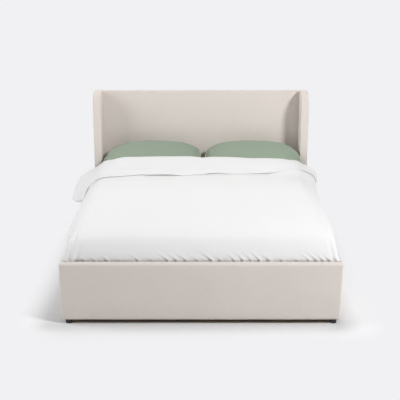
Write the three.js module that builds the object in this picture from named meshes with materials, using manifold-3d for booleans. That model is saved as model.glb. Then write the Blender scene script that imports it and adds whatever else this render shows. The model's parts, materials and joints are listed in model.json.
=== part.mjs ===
// A double ottoman bed: an upholstered frame with a winged headboard, round a slatted platform that
// lifts at its foot end on a pair of strut-assisted four-bar hinges, and the bedding that lies on it.
// Millimetres, +Z up, +Y towards the headboard. The origin is the centre foot's underside.

import * as THREE from 'three';
import { mergeVertices } from 'three/addons/utils/BufferGeometryUtils.js';
import Module from 'manifold-3d';

const wasm = await Module();
wasm.setup();

// clearances
const seatGap = 0.3;
const pinPlay = 0.3;
const cutOverrun = 20;

// mattress, a 160 by 200 cm one with the usual undersize
const mattressWidth = 1590;
const mattressLength = 1990;
const mattressHeight = 250;
const mattressCorner = 60;
const mattressEdge = 24;

// outer frame
const sideClearance = 15;
const footClearance = 45;
const headClearance = 25;
const railThickness = 60;
const footPanelThickness = 60;
const headboardThickness = 80;
const frameHeight = 390;
const headboardHeight = 1170;
const headboardCorner = 26;
const wingReach = 165;
const wingCorner = 120;
const footPanelTaper = 9;
const padThickness = 12;
const padRound = 13;
const baseRound = 16;
const railBaseRound = 4;
const backBoard = 3;
const backBoardInset = 12;

// feet
const footHeight = 25;
const cornerFootRadius = 22;
const centreFootRadius = 30;
const footInset = 50;

// storage floor
const floorBoard = 4;
const floorBeamHeight = 10;
const floorBeamWidth = 60;
const ledgerWidth = 20;
const floorJoint = 1;

// lifting platform
const platformBase = 225;
const tubeWidth = 30;
const tubeHeight = 30;
const platformInset = 35;
const slatWidth = 90;
const slatThickness = 12;
const slatCount = 12;
const slatInset = 2;
const slatEndInset = 12;

// mattress stop and pull strap
const stopWidth = 300;
const stopHeight = 122;
const stopThickness = 4;
const stopCorner = 14;
const strapWidth = 45;
const strapThickness = 4;
const strapLength = 190;
const tabRise = 2;

// lifting hinge, seen from the side: angles from +Y towards +Z
const liftPivotBack = 245;
const liftPivotRise = 10;
const armLength = 340;
const armAngle = 30;
const linkLength = 369;
const linkAngle = 24.1;
const linkEyeBack = 70;
const linkEyeRise = 11;
const linkDrift = 6.8;
const strutArm = 64;
const strutArmAngle = 67;
const strutLength = 255;
const strutAngle = 165.4;
const strutDrift = 5.6;

// lifting hinge plates and pins
const plateThickness = 4;
const armThickness = 5;
const layerGap = 1;
const hangerGap = 4;
const armHalfWidth = 15;
const armEye = 17;
const tabHalfWidth = 11;
const linkHalfWidth = 11;
const linkEye = 19;
const pinRadius = 6;
const studRadius = 5;
const headRadius = 9;
const headThickness = 3;
const basePlateRise = 42;
const basePlateHeight = 78;
const basePlateMargin = 30;
const basePlateCorner = 12;
const hangerMargin = 22;
const hangerTop = 263;
const hangerLap = 25;

// gas strut
const strutInset = 9;
const cylinderRadius = 11;
const cylinderLength = 185;
const cylinderBase = 30;
const rodRadius = 5;
const rodTail = 60;
const eyeThickness = 9;
const cylinderEye = 12;

// corner brackets
const bracketThickness = 4;
const bracketReach = 100;
const bracketBase = 60;
const bracketShelf = 75;
const headBracketLap = 60;

// pillows
const pillowSideGap = 28;
const pillowDepth = 480;
const pillowHalfThickness = 75;
const pillowGap = 24;
const pillowLean = 27;
const pillowHeadGap = 40;
const pillowRise = 6;
const pillowDrawShare = 0.07;
const pillowSwellShare = 0.45;

// duvet
const duvetPuff = 38;
const duvetBand = 15;
const duvetBandEdge = 450;
const duvetBandRamp = 9;
const duvetMargin = 5;
const duvetEdge = 20;
const duvetTuck = 45;
const duvetTuckThickness = 20;
const duvetFootRoundLength = 62;
const duvetFootRoundHeight = 112;
const duvetFlatInset = 75;
const duvetFootInset = 12;
const duvetHeadOverhang = 35;
const duvetFlapReach = 92;
const duvetFlapStart = 120;
const duvetFlapFull = 470;
const duvetSlopeEdge = 150;
const duvetWingGap = 25;
const duvetNotch = 12;
const duvetNotchWidth = 70;

// how finely round stretches are cut
const roundSteps = 3;
const pinSteps = 7;
const barSteps = 4;
const padSteps = 3;
const pillowColumns = 14;
const pillowRows = 10;
const duvetSideSteps = 5;
const duvetTopColumns = 8;

// places that follow from the sizes above
const innerHalf = mattressWidth / 2 + sideClearance;
const outerHalf = innerHalf + railThickness;
const overallLength =
  footPanelThickness + footClearance + mattressLength + headClearance + headboardThickness;
const footFace = -overallLength / 2;
const footInner = footFace + footPanelThickness;
const mattressFoot = footInner + footClearance;
const mattressHead = mattressFoot + mattressLength;
const headFace = mattressHead + headClearance;
const headBack = headFace + headboardThickness;
const wingFront = headFace - wingReach;
const frameBase = footHeight + seatGap;
const ledgerBase = frameBase + seatGap;
const floorBase = ledgerBase + floorBeamHeight + seatGap;
const platformHalf = mattressWidth / 2 - platformInset;
const platformTop = platformBase + tubeHeight;
const slatBase = platformTop + seatGap;
const slatTop = slatBase + slatThickness;
const mattressBase = slatTop + seatGap;
const mattressTop = mattressBase + mattressHeight;

// the hinge's pivots, each a place in the side view, x along +Y and y up
const liftPivot = new THREE.Vector2(mattressHead - liftPivotBack, platformBase + liftPivotRise);
const armPivot = along(liftPivot, armAngle, -armLength);
const linkEyePlace = new THREE.Vector2(liftPivot.x - linkEyeBack, liftPivot.y + linkEyeRise);
const linkPivot = along(linkEyePlace, linkAngle, -linkLength);
const strutEye = along(armPivot, strutArmAngle, strutArm);
const strutPivot = along(strutEye, strutAngle, -strutLength);

// the hinge's layers, as distances from the bed's middle plane
const plateOuter = innerHalf - seatGap;
const plateInner = plateOuter - plateThickness;
const armOuter = plateInner - layerGap;
const armInner = armOuter - armThickness;
const hangerOuter = armInner - hangerGap;
const hangerInner = hangerOuter - plateThickness;
const strutMiddle = hangerInner - strutInset;
const eyeInner = strutMiddle - eyeThickness / 2;

const sides = [['left', -1], ['right', 1]];

const bed = new THREE.Group();

const finishes = {
  upholstery: { color: 0xc9c0b8, roughness: 0.95, metalness: 0 },
  timber: { color: 0xc8a87c, roughness: 0.8, metalness: 0 },
  board: { color: 0xb9a184, roughness: 0.85, metalness: 0 },
  backing: { color: 0x3a3836, roughness: 0.95, metalness: 0 },
  steel: { color: 0x26282a, roughness: 0.5, metalness: 0.6 },
  bright: { color: 0xb8babc, roughness: 0.25, metalness: 0.9 },
  plastic: { color: 0x1b1b1c, roughness: 0.6, metalness: 0 },
  webbing: { color: 0x3b3b3d, roughness: 0.9, metalness: 0 },
  ticking: { color: 0xe9e7e2, roughness: 0.95, metalness: 0 },
  cotton: { color: 0xf1f1f0, roughness: 0.9, metalness: 0 },
  sage: { color: 0x94a892, roughness: 0.9, metalness: 0 },
};

function add(name, geometry, finish) {
  const mesh = new THREE.Mesh(geometry, new THREE.MeshStandardMaterial(finishes[finish]));
  mesh.name = name;
  bed.add(mesh);
  return mesh;
}

function along(place, degrees, distance) {
  const angle = THREE.MathUtils.degToRad(degrees);
  return new THREE.Vector2(
    place.x + distance * Math.cos(angle),
    place.y + distance * Math.sin(angle),
  );
}

// three.js geometry and closed solids, back and forth

function solid(geometry) {
  const bare = new THREE.BufferGeometry();
  bare.setAttribute('position', geometry.getAttribute('position').clone());
  if (geometry.index) bare.setIndex(geometry.index.clone());
  const merged = mergeVertices(bare);
  const mesh = new wasm.Mesh({
    numProp: 3,
    vertProperties: Float32Array.from(merged.getAttribute('position').array),
    triVerts: Uint32Array.from(merged.index.array),
  });
  mesh.merge();
  return new wasm.Manifold(mesh);
}

function surface(body) {
  const mesh = body.getMesh();
  const geometry = new THREE.BufferGeometry();
  geometry.setAttribute('position', new THREE.Float32BufferAttribute(mesh.vertProperties, 3));
  geometry.setIndex(Array.from(mesh.triVerts));
  geometry.computeVertexNormals();
  return geometry;
}

function joined(first, ...others) {
  return surface(others.reduce((sum, other) => sum.add(solid(other)), solid(first)));
}

function cut(first, ...others) {
  return surface(others.reduce((rest, other) => rest.subtract(solid(other)), solid(first)));
}

// boxes by their lowest and highest corners; a side box is given as distances from the middle plane

function box([x0, x1], [y0, y1], [z0, z1]) {
  const geometry = new THREE.BoxGeometry(x1 - x0, y1 - y0, z1 - z0);
  return geometry.translate((x0 + x1) / 2, (y0 + y1) / 2, (z0 + z1) / 2);
}

function sideSpan(side, near, far) {
  return side > 0 ? [near, far] : [-far, -near];
}

// an outline of [across, up, corner radius] places, taken anticlockwise

function outline(places) {
  const shape = new THREE.Shape();
  places.forEach(([a, b, radius], i) => {
    const corner = new THREE.Vector2(a, b);
    const back = new THREE.Vector2(...places.at(i - 1)).sub(corner).normalize();
    const on = new THREE.Vector2(...places[(i + 1) % places.length]).sub(corner).normalize();
    const half = Math.acos(back.dot(on)) / 2;
    const centre = back.clone().add(on).setLength(radius / Math.sin(half)).add(corner);
    const enter = back.multiplyScalar(radius / Math.tan(half)).add(corner);
    const leave = on.multiplyScalar(radius / Math.tan(half)).add(corner);
    if (i === 0) shape.moveTo(enter.x, enter.y);
    else shape.lineTo(enter.x, enter.y);
    if (radius > 0) {
      const start = enter.sub(centre).angle();
      const end = leave.sub(centre).angle();
      shape.absarc(centre.x, centre.y, radius, start, end, false);
    }
  });
  shape.closePath();
  return shape;
}

function rectangle([a0, a1], [b0, b1], radius = 0) {
  return outline([[a0, b0, radius], [a1, b0, radius], [a1, b1, radius], [a0, b1, radius]]);
}

function disc(place, radius) {
  const shape = new THREE.Shape();
  shape.absarc(place.x, place.y, radius, 0, Math.PI * 2, false);
  return shape;
}

// a bar with round ends between two places
function bar(from, to, halfWidth) {
  const turn = Math.atan2(to.y - from.y, to.x - from.x);
  const shape = new THREE.Shape();
  shape.absarc(to.x, to.y, halfWidth, turn - Math.PI / 2, turn + Math.PI / 2, false);
  shape.absarc(from.x, from.y, halfWidth, turn + Math.PI / 2, turn + Math.PI * 1.5, false);
  shape.closePath();
  return shape;
}

// an outline pushed out along +Z, its edges rounded by the given radius within its own size
function slab(shape, thickness, round = 0, steps = roundSteps) {
  return new THREE.ExtrudeGeometry(shape, {
    depth: thickness - round * 2,
    bevelEnabled: round > 0,
    bevelSize: round,
    bevelThickness: round,
    bevelOffset: -round,
    bevelSegments: padSteps,
    curveSegments: steps,
  }).translate(0, 0, round);
}

// side view outlines: across is +Y, up is +Z, and the slab's thickness runs along X
const sideView = new THREE.Matrix4().makeBasis(
  new THREE.Vector3(0, 1, 0),
  new THREE.Vector3(0, 0, 1),
  new THREE.Vector3(1, 0, 0),
);

function sidePlate(side, shape, near, far, steps = pinSteps) {
  const [low] = sideSpan(side, near, far);
  return slab(shape, far - near, 0, steps).applyMatrix4(sideView).translate(low, 0, 0);
}

// front view outlines: across is +X, up is +Z, and the thickness runs from y0 towards +Y
function frontSlab(shape, [y0, y1], round) {
  return slab(shape, y1 - y0, round).rotateX(Math.PI / 2).translate(0, y1, 0);
}

function addHeadboard() {
  const coverBack = headBack - backBoard - seatGap;
  const coreHalf = outerHalf - padThickness;
  const coreTop = headboardHeight - padThickness;
  const coreFront = headFace + padThickness;
  const face = outline([
    [-outerHalf, frameBase, baseRound],
    [outerHalf, frameBase, baseRound],
    [outerHalf, headboardHeight, headboardCorner],
    [-outerHalf, headboardHeight, headboardCorner],
  ]);
  const inside = box(
    [-coreHalf - seatGap, coreHalf + seatGap],
    [coreFront - seatGap, headBack + cutOverrun],
    [0, coreTop + seatGap],
  );
  const pad = frontSlab(face, [headFace, coverBack + padRound], padRound);
  const behind = box(
    [-outerHalf - cutOverrun, outerHalf + cutOverrun],
    [coverBack, headBack + cutOverrun],
    [0, headboardHeight + cutOverrun],
  );
  add('headboard_pad', cut(pad, inside, behind), 'upholstery');
  add('headboard_core', box([-coreHalf, coreHalf], [coreFront, coverBack], [frameBase, coreTop]), 'timber');
  const back = rectangle(
    [-outerHalf + backBoardInset, outerHalf - backBoardInset],
    [frameBase + backBoardInset, headboardHeight - backBoardInset],
    baseRound,
  );
  add('headboard_back_cover', frontSlab(back, [headBack - backBoard, headBack], 0), 'backing');
}

function wingOutline(inset, base) {
  return outline([
    [wingFront + inset, base, 0],
    [headFace - seatGap - inset, base, 0],
    [headFace - seatGap - inset, headboardHeight - inset, baseRound],
    [wingFront + inset, headboardHeight - inset, wingCorner - inset],
  ]);
}

function addWing(name, side) {
  const low = sideSpan(side, innerHalf, outerHalf)[0];
  const thickness = outerHalf - innerHalf;
  const core = slab(wingOutline(padThickness, frameBase), thickness - padThickness * 2)
    .applyMatrix4(sideView).translate(low + padThickness, 0, 0);
  const room = slab(wingOutline(padThickness - seatGap, 0), thickness - (padThickness - seatGap) * 2)
    .applyMatrix4(sideView).translate(low + padThickness - seatGap, 0, 0);
  const cover = slab(wingOutline(0, frameBase), thickness, padRound)
    .applyMatrix4(sideView).translate(low, 0, 0);
  add(`${name}_wing_cover`, cut(cover, room), 'upholstery');
  add(`${name}_wing_core`, core, 'timber');
}

function addSideRail(name, side) {
  const [low, high] = sideSpan(side, innerHalf, outerHalf);
  const run = [footInner + seatGap, wingFront - seatGap];
  const section = outline([
    [low, frameBase, railBaseRound],
    [high, frameBase, railBaseRound],
    [high, frameHeight, padRound],
    [low, frameHeight, padRound],
  ]);
  const coreTop = frameHeight - padThickness;
  const coreSpan = [low + padThickness, high - padThickness];
  const room = box(
    [coreSpan[0] - seatGap, coreSpan[1] + seatGap],
    [run[0] - cutOverrun, run[1] + cutOverrun],
    [0, coreTop + seatGap],
  );
  add(`${name}_side_rail_cover`, cut(frontSlab(section, run, 0), room), 'upholstery');
  add(`${name}_side_rail_core`, box(coreSpan, run, [frameBase, coreTop]), 'timber');
}

function addFootPanel() {
  const span = [footFace, footInner];
  const face = outline([
    [-outerHalf + footPanelTaper, frameBase, baseRound],
    [outerHalf - footPanelTaper, frameBase, baseRound],
    [outerHalf, frameHeight, baseRound],
    [-outerHalf, frameHeight, baseRound],
  ]);
  const coreHalf = outerHalf - footPanelTaper - padThickness;
  const coreRun = [footFace + padThickness, footInner - padThickness];
  const coreTop = frameHeight - padThickness;
  const room = box(
    [-coreHalf - seatGap, coreHalf + seatGap],
    [coreRun[0] - seatGap, coreRun[1] + seatGap],
    [0, coreTop + seatGap],
  );
  add('foot_panel_cover', cut(frontSlab(face, span, padRound), room), 'upholstery');
  add('foot_panel_core', box([-coreHalf, coreHalf], coreRun, [frameBase, coreTop]), 'timber');
}

function foot(radius) {
  return new THREE.CylinderGeometry(radius, radius, footHeight, pinSteps * 2)
    .rotateX(Math.PI / 2).translate(0, 0, footHeight / 2);
}

function addFeet() {
  for (const [name, side] of sides) {
    const x = side * (outerHalf - footInset);
    add(`front_${name}_foot`, foot(cornerFootRadius), 'plastic')
      .position.set(x, footFace + footPanelThickness / 2, 0);
    add(`rear_${name}_foot`, foot(cornerFootRadius), 'plastic')
      .position.set(x, headBack - headboardThickness / 2, 0);
  }
  add('centre_foot', foot(centreFootRadius), 'plastic');
}

function addStorageFloor() {
  const run = [footInner + floorJoint, headFace - floorJoint];
  const beamTop = ledgerBase + floorBeamHeight;
  const beam = box([-floorBeamWidth / 2, floorBeamWidth / 2], run, [ledgerBase, beamTop]);
  add('floor_beam', beam, 'timber');
  for (const [name, side] of sides) {
    const ledgerSpan = sideSpan(side, innerHalf - seatGap - ledgerWidth, innerHalf - seatGap);
    const ledgerRun = [footInner + floorJoint, wingFront - floorJoint];
    add(`${name}_floor_ledger`, box(ledgerSpan, ledgerRun, [ledgerBase, beamTop]), 'timber');
    const boardSpan = sideSpan(side, floorJoint / 2, innerHalf - floorJoint);
    add(`${name}_floor_board`, box(boardSpan, run, [floorBase, floorBase + floorBoard]), 'board');
  }
}

function addCornerBrackets() {
  const shelfTop = platformBase - seatGap;
  const up = [bracketBase, shelfTop];
  const shelfUp = [shelfTop - bracketThickness, shelfTop];
  const footRun = [footInner + seatGap, footInner + seatGap + bracketReach];
  const footFlange = [footInner + seatGap, footInner + seatGap + bracketThickness];
  const headRun = [wingFront - headBracketLap, wingFront + bracketReach];
  for (const [name, side] of sides) {
    const flange = sideSpan(side, plateOuter - bracketThickness, plateOuter);
    const shelf = sideSpan(side, plateOuter - bracketShelf, plateOuter);
    add(
      `${name}_foot_bracket`,
      joined(box(flange, footRun, up), box(shelf, footFlange, up), box(shelf, footRun, shelfUp)),
      'steel',
    );
    const headPlate = joined(box(flange, headRun, up), box(shelf, headRun, shelfUp));
    add(`${name}_head_bracket`, headPlate, 'steel');
  }
}

function addPlatformFrame() {
  const innerX = platformHalf - tubeWidth;
  const ring = rectangle([-platformHalf, platformHalf], [mattressFoot, mattressHead]);
  ring.holes.push(
    rectangle([-innerX, innerX], [mattressFoot + tubeWidth, mattressHead - tubeWidth]),
  );
  add('platform_frame', slab(ring, tubeHeight).translate(0, 0, platformBase), 'steel');
  const centreRun = [mattressFoot + tubeWidth + seatGap, mattressHead - tubeWidth - seatGap];
  const centre = box([-tubeWidth / 2, tubeWidth / 2], centreRun, [platformBase, platformTop]);
  add('platform_centre_rail', centre, 'steel');
}

function addSlats() {
  const half = platformHalf - slatInset;
  const first = mattressFoot + slatEndInset;
  const pitch = (mattressLength - slatEndInset * 2 - slatWidth) / (slatCount - 1);
  for (let i = 0; i < slatCount; i++) {
    const start = first + pitch * i;
    add(`slat_${i + 1}`, box([-half, half], [start, start + slatWidth], [slatBase, slatTop]), 'timber');
  }
}

function addStopAndStrap() {
  const stop = rectangle([-stopWidth / 2, stopWidth / 2], [0, stopHeight], stopCorner);
  const stopRun = [mattressHead + seatGap, mattressHead + seatGap + stopThickness];
  add('mattress_stop', frontSlab(stop, stopRun, 0).translate(0, 0, platformBase + tabRise), 'steel');
  const strap = rectangle([-strapWidth / 2, strapWidth / 2], [0, strapLength], strapThickness);
  const strapRun = [mattressFoot - seatGap - strapThickness, mattressFoot - seatGap];
  add('lift_strap', frontSlab(strap, strapRun, 0).translate(0, 0, platformBase + tabRise), 'webbing');
}

// a pin or head between two distances from the middle plane
function pin(side, place, radius, near, far) {
  return sidePlate(side, disc(place, radius), near, far);
}

function addBasePlate(name, side) {
  const shape = rectangle(
    [linkPivot.x - basePlateMargin, strutPivot.x + basePlateMargin],
    [basePlateRise, basePlateRise + basePlateHeight],
    basePlateCorner,
  );
  for (const place of [armPivot, linkPivot]) shape.holes.push(disc(place, pinRadius + pinPlay));
  const stud = pin(side, strutPivot, studRadius, eyeInner - layerGap, plateInner + plateThickness / 2);
  const head = pin(side, strutPivot, headRadius, eyeInner - layerGap - headThickness, eyeInner - layerGap);
  add(`${name}_base_plate`, joined(sidePlate(side, shape, plateInner, plateOuter), stud, head), 'steel');
}

function addMainArm(name, side) {
  const blade = sidePlate(side, bar(armPivot, liftPivot, armHalfWidth), armInner, armOuter, barSteps);
  const foot = pin(side, armPivot, armEye, armInner, armOuter);
  const tab = sidePlate(side, bar(armPivot, strutEye, tabHalfWidth), armInner, armOuter, barSteps);
  const middle = armInner + armThickness / 2;
  const basePin = pin(side, armPivot, pinRadius, middle, plateOuter - layerGap);
  const liftEnd = hangerInner - layerGap;
  const liftPin = pin(side, liftPivot, pinRadius, liftEnd, middle);
  const liftHead = pin(side, liftPivot, headRadius, liftEnd - headThickness, liftEnd);
  const strutEnd = eyeInner - layerGap;
  const strutStud = pin(side, strutEye, studRadius, strutEnd, middle);
  const strutHead = pin(side, strutEye, cylinderEye, strutEnd - headThickness, strutEnd);
  const arm = joined(blade, foot, tab, basePin, liftPin, liftHead, strutStud, strutHead);
  add(`${name}_main_arm`, arm, 'steel');
}

function addSecondLink(name, side) {
  const blade = sidePlate(side, bar(linkPivot, linkEyePlace, linkHalfWidth), armInner, armOuter, barSteps);
  const eye = pin(side, linkEyePlace, linkEye, armInner, armOuter);
  const middle = armInner + armThickness / 2;
  const basePin = pin(side, linkPivot, pinRadius, middle, plateOuter - layerGap);
  const play = studRadius + linkDrift + pinPlay;
  const hole = pin(side, linkEyePlace, play, armInner - cutOverrun, armOuter + cutOverrun);
  const link = solid(joined(blade, eye, basePin)).subtract(solid(hole));
  add(`${name}_second_link`, surface(link), 'steel');
}

function addHanger(name, side) {
  const run = [linkEyePlace.x - hangerMargin, liftPivot.x + hangerMargin];
  const base = platformBase - seatGap - plateThickness;
  const shape = rectangle(run, [base, hangerTop], plateThickness);
  shape.holes.push(disc(liftPivot, pinRadius + pinPlay));
  const plate = sidePlate(side, shape, hangerInner, hangerOuter);
  const flangeSpan = sideSpan(side, platformHalf - hangerLap, hangerOuter - plateThickness / 2);
  const flangeRun = [run[0] + plateThickness, run[1] - plateThickness];
  const flange = box(flangeSpan, flangeRun, [base, base + plateThickness]);
  const stud = pin(side, linkEyePlace, studRadius, hangerInner + plateThickness / 2, armOuter);
  add(`${name}_platform_hanger`, joined(plate, flange, stud), 'steel');
}

// a strut lies along +Y from its lower pivot before its mesh is turned
function strutMesh(name, geometry, finish, side) {
  const mesh = add(name, geometry, finish);
  mesh.position.set(side * strutMiddle, strutPivot.x, strutPivot.y);
  mesh.rotation.x = THREE.MathUtils.degToRad(strutAngle);
}

function eyeAt(distance, radius) {
  return slab(disc(new THREE.Vector2(distance, 0), radius), eyeThickness, 0, pinSteps)
    .applyMatrix4(sideView).translate(-eyeThickness / 2, 0, 0);
}

function boreAt(distance, radius) {
  const length = eyeThickness + cutOverrun * 2;
  return slab(disc(new THREE.Vector2(distance, 0), radius), length, 0, pinSteps)
    .applyMatrix4(sideView).translate(-length / 2, 0, 0);
}

function turned(profile) {
  return new THREE.LatheGeometry(profile.map(([r, y]) => new THREE.Vector2(r, y)), pinSteps * 2);
}

function addStrut(name, side) {
  const neck = cylinderEye - layerGap;
  const barrel = turned([
    [0, neck],
    [cylinderRadius, neck],
    [cylinderRadius, cylinderLength],
    [rodRadius + pinPlay, cylinderLength],
    [rodRadius + pinPlay, cylinderBase],
    [0, cylinderBase],
  ]);
  const cylinder = cut(joined(barrel, eyeAt(0, cylinderEye)), boreAt(0, studRadius + pinPlay));
  strutMesh(`${name}_strut_cylinder`, cylinder, 'steel', side);
  const play = studRadius + strutDrift + pinPlay;
  const rodEye = play + rodRadius;
  const shaft = turned([[0, rodTail], [rodRadius, rodTail], [rodRadius, strutLength], [0, strutLength]]);
  const rod = cut(joined(shaft, eyeAt(strutLength, rodEye)), boreAt(strutLength, play));
  strutMesh(`${name}_strut_rod`, rod, 'bright', side);
}

// the mattress's rounded block, or the room that it takes with a gap all round
function mattressGeometry(gap) {
  const half = mattressWidth / 2 + gap;
  const plan = rectangle([-half, half], [mattressFoot - gap, mattressHead + gap], mattressCorner + gap);
  const block = slab(plan, mattressHeight + gap * 2, mattressEdge + gap);
  return block.translate(0, 0, mattressBase - gap);
}

// closed grids

function grid(columns, rows, place) {
  const points = [];
  for (let j = 0; j <= rows; j++) {
    for (let i = 0; i <= columns; i++) points.push(place(i / columns, j / rows));
  }
  const triangles = [];
  for (let j = 0; j < rows; j++) {
    for (let i = 0; i < columns; i++) {
      const a = j * (columns + 1) + i;
      const b = a + columns + 1;
      triangles.push([a, a + 1, b + 1], [a, b + 1, b]);
    }
  }
  return { points, triangles };
}

function fromTriangles(points, triangles) {
  const geometry = new THREE.BufferGeometry();
  geometry.setAttribute('position', new THREE.Float32BufferAttribute(points.flatMap((p) => p.toArray()), 3));
  geometry.setIndex(triangles.flat());
  return mergeVertices(geometry);
}

// a pillow in the side view: the seam's middle, and the lean of its mid-plane

const lean = THREE.MathUtils.degToRad(pillowLean);
const pillowWidth = innerHalf - pillowSideGap - pillowGap / 2;
const pillowTopEdge = headFace - pillowHeadGap;
const pillowMiddle = new THREE.Vector2(
  pillowTopEdge - Math.cos(lean) * pillowDepth / 2,
  mattressTop + pillowRise + Math.sin(lean) * pillowDepth / 2,
);

function swell(share) {
  return Math.max(0, 1 - share * share) ** pillowSwellShare;
}

function leaned(distance, height) {
  return new THREE.Vector2(
    pillowMiddle.x + distance * Math.cos(lean) - height * Math.sin(lean),
    pillowMiddle.y + distance * Math.sin(lean) + height * Math.cos(lean),
  );
}

// one face of a pillow, its sides drawn in between the corners
function pillowFace(grow, facing, lowest) {
  return (a, b) => {
    const u = a * 2 - 1;
    const v = b * 2 - 1;
    const x = u * (pillowWidth / 2 + grow) * (1 - pillowDrawShare * (1 - v * v));
    const distance = v * (pillowDepth / 2 + grow) * (1 - pillowDrawShare * (1 - u * u));
    const rim = Math.min(1 - Math.abs(u), 1 - Math.abs(v)) <= 0;
    const height = rim ? 0 : facing * (pillowHalfThickness + grow) * swell(u) * swell(v);
    const place = leaned(distance, height);
    return new THREE.Vector3(x, place.x, Math.max(place.y, lowest));
  };
}

function pillowGeometry(grow, lowest) {
  const top = grid(pillowColumns, pillowRows, pillowFace(grow, 1, lowest));
  const under = grid(pillowColumns, pillowRows, pillowFace(grow, -1, lowest));
  const shift = top.points.length;
  const flipped = under.triangles.map(([a, b, c]) => [a + shift, c + shift, b + shift]);
  return fromTriangles([...top.points, ...under.points], [...top.triangles, ...flipped]);
}

const pillowOffset = (pillowWidth + pillowGap) / 2;

function addPillows() {
  for (const [name, side] of sides) {
    add(`pillow_${name}`, pillowGeometry(0, mattressTop + seatGap), 'sage')
      .position.x = side * pillowOffset;
  }
}

// the duvet is lofted through cross-sections, each a ring of places round its soft outer surface,
// and the mattress, pillows and rails are then cut from it

const duvetTop = mattressTop + seatGap + duvetPuff;
const duvetFlatHalf = mattressWidth / 2 - duvetFlatInset;
const duvetFootReach = outerHalf - duvetFootInset;
const duvetHeadReach = outerHalf + duvetHeadOverhang;
const duvetFootFace = mattressFoot - strapThickness - seatGap * 2 - duvetTuckThickness;
const railTop = frameHeight + seatGap;

function smooth(share) {
  const s = THREE.MathUtils.clamp(share, 0, 1);
  return s * s * (3 - 2 * s);
}

// how much of the pillows' height the duvet keeps at a distance from the middle
function pillowShare(distance) {
  return 1 - smooth((distance - duvetFlatHalf) / duvetSlopeEdge);
}

function reachAt(side, y) {
  const run = (y - duvetFootFace) / (wingFront - duvetFootFace);
  const even = THREE.MathUtils.lerp(duvetFootReach, duvetHeadReach, smooth(run));
  const flap = smooth((y - duvetFlapStart) / (duvetFlapFull - duvetFlapStart));
  return even + (side < 0 ? duvetFlapReach * flap : 0);
}

// stations from the foot tuck to the upper edge on the pillows: length, height and end shift
function duvetStations() {
  const stations = [];
  for (let i = 0; i <= roundSteps; i++) {
    const angle = (Math.PI / 2) * (i / roundSteps);
    stations.push({
      y: duvetFootFace + duvetFootRoundLength * (1 - Math.cos(angle)),
      z: duvetTop - duvetFootRoundHeight * (1 - Math.sin(angle)),
      shift: 0,
    });
  }
  const flatStart = duvetFootFace + duvetFootRoundLength;
  const bandFoot = duvetBandEdge - duvetBandRamp;
  const flatRunShares = [0.2, 0.45, 0.7, 0.86];
  for (const share of flatRunShares) {
    stations.push({ y: THREE.MathUtils.lerp(flatStart, bandFoot, share), z: duvetTop, shift: 0 });
  }
  stations.push({ y: bandFoot, z: duvetTop, shift: 0 });
  stations.push({ y: duvetBandEdge + duvetBandRamp, z: duvetTop + duvetBand, shift: 0 });
  const slopeShares = [-1, -0.8, -0.6, -0.4, -0.22];
  const endShift = wingFront - duvetWingGap - leaned(slopeShares.at(-1) * pillowDepth / 2, 0).x;
  slopeShares.forEach((share, i) => {
    const lastShare = i / (slopeShares.length - 1);
    const rise = duvetMargin + THREE.MathUtils.lerp(duvetPuff + duvetBand, duvetEdge, lastShare);
    const place = leaned(share * pillowDepth / 2, pillowHalfThickness * swell(share) + rise);
    stations.push({ y: place.x, z: place.y, shift: endShift * lastShare });
  });
  return stations;
}

function duvetRing(station) {
  const raised = Math.max(0, station.z - duvetTop - duvetBand);
  const level = station.z - raised;
  const place = (x, drop) => {
    const kept = pillowShare(Math.abs(x));
    const notch = duvetNotch * Math.exp(-((x / duvetNotchWidth) ** 2)) * Math.min(1, raised / duvetPuff);
    const z = level + raised * kept - notch - (level - railTop) * drop;
    return new THREE.Vector3(x, station.y + station.shift * (1 - kept), z);
  };
  const ring = [];
  const flat = duvetFlatHalf;
  const roundShare = 0.8;
  for (let i = 0; i <= duvetSideSteps; i++) {
    const angle = (Math.PI / 2) * (1 - i / duvetSideSteps);
    const out = Math.sin(angle) ** roundShare;
    const drop = 1 - Math.max(0, Math.cos(angle)) ** roundShare;
    ring.push([out, drop]);
  }
  const left = ring.map(([out, drop]) => (
    place(-(flat + (reachAt(-1, station.y) - flat) * out), drop)
  ));
  const right = ring.map(([out, drop]) => (
    place(flat + (reachAt(1, station.y) - flat) * out, drop)
  )).reverse();
  const middle = [];
  for (let i = 1; i < duvetTopColumns; i++) {
    middle.push(place(THREE.MathUtils.lerp(-flat, flat, i / duvetTopColumns), 0));
  }
  const around = [...left, ...middle, ...right];
  const bottom = frameHeight - duvetTuck;
  const ends = [around.at(-1), around[0]].map((p) => new THREE.Vector3(p.x, p.y, bottom));
  return [...around, ...ends];
}

function loft(rings) {
  const count = rings[0].length;
  const points = rings.flat();
  const triangles = [];
  for (let j = 0; j < rings.length - 1; j++) {
    for (let i = 0; i < count; i++) {
      const a = j * count + i;
      const b = j * count + (i + 1) % count;
      triangles.push([a, b, b + count], [a, b + count, a + count]);
    }
  }
  rings.forEach((ring, j) => {
    if (j > 0 && j < rings.length - 1) return;
    const low = Math.min(...ring.map((p) => p.z));
    const middle = new THREE.Vector3(0, ring[Math.floor(count / 2) - 1].y, (low + railTop) / 2);
    const hub = points.push(middle) - 1;
    for (let i = 0; i < count; i++) {
      const a = j * count + i;
      const b = j * count + (i + 1) % count;
      triangles.push(j === 0 ? [hub, b, a] : [hub, a, b]);
    }
  });
  return fromTriangles(points, triangles);
}

// the room under the pillows' mid-plane, which the duvet leaves free
function underPillows() {
  const half = pillowDepth / 2;
  const low = leaned(-half, 0);
  const high = leaned(half, 0);
  const wedge = outline([
    [low.x, mattressTop - duvetMargin, 0],
    [high.x, mattressTop - duvetMargin, 0],
    [high.x, high.y, 0],
    [low.x, low.y, 0],
  ]);
  const reach = pillowOffset + pillowWidth / 2;
  return slab(wedge, reach * 2).applyMatrix4(sideView).translate(-reach, 0, 0);
}

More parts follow.
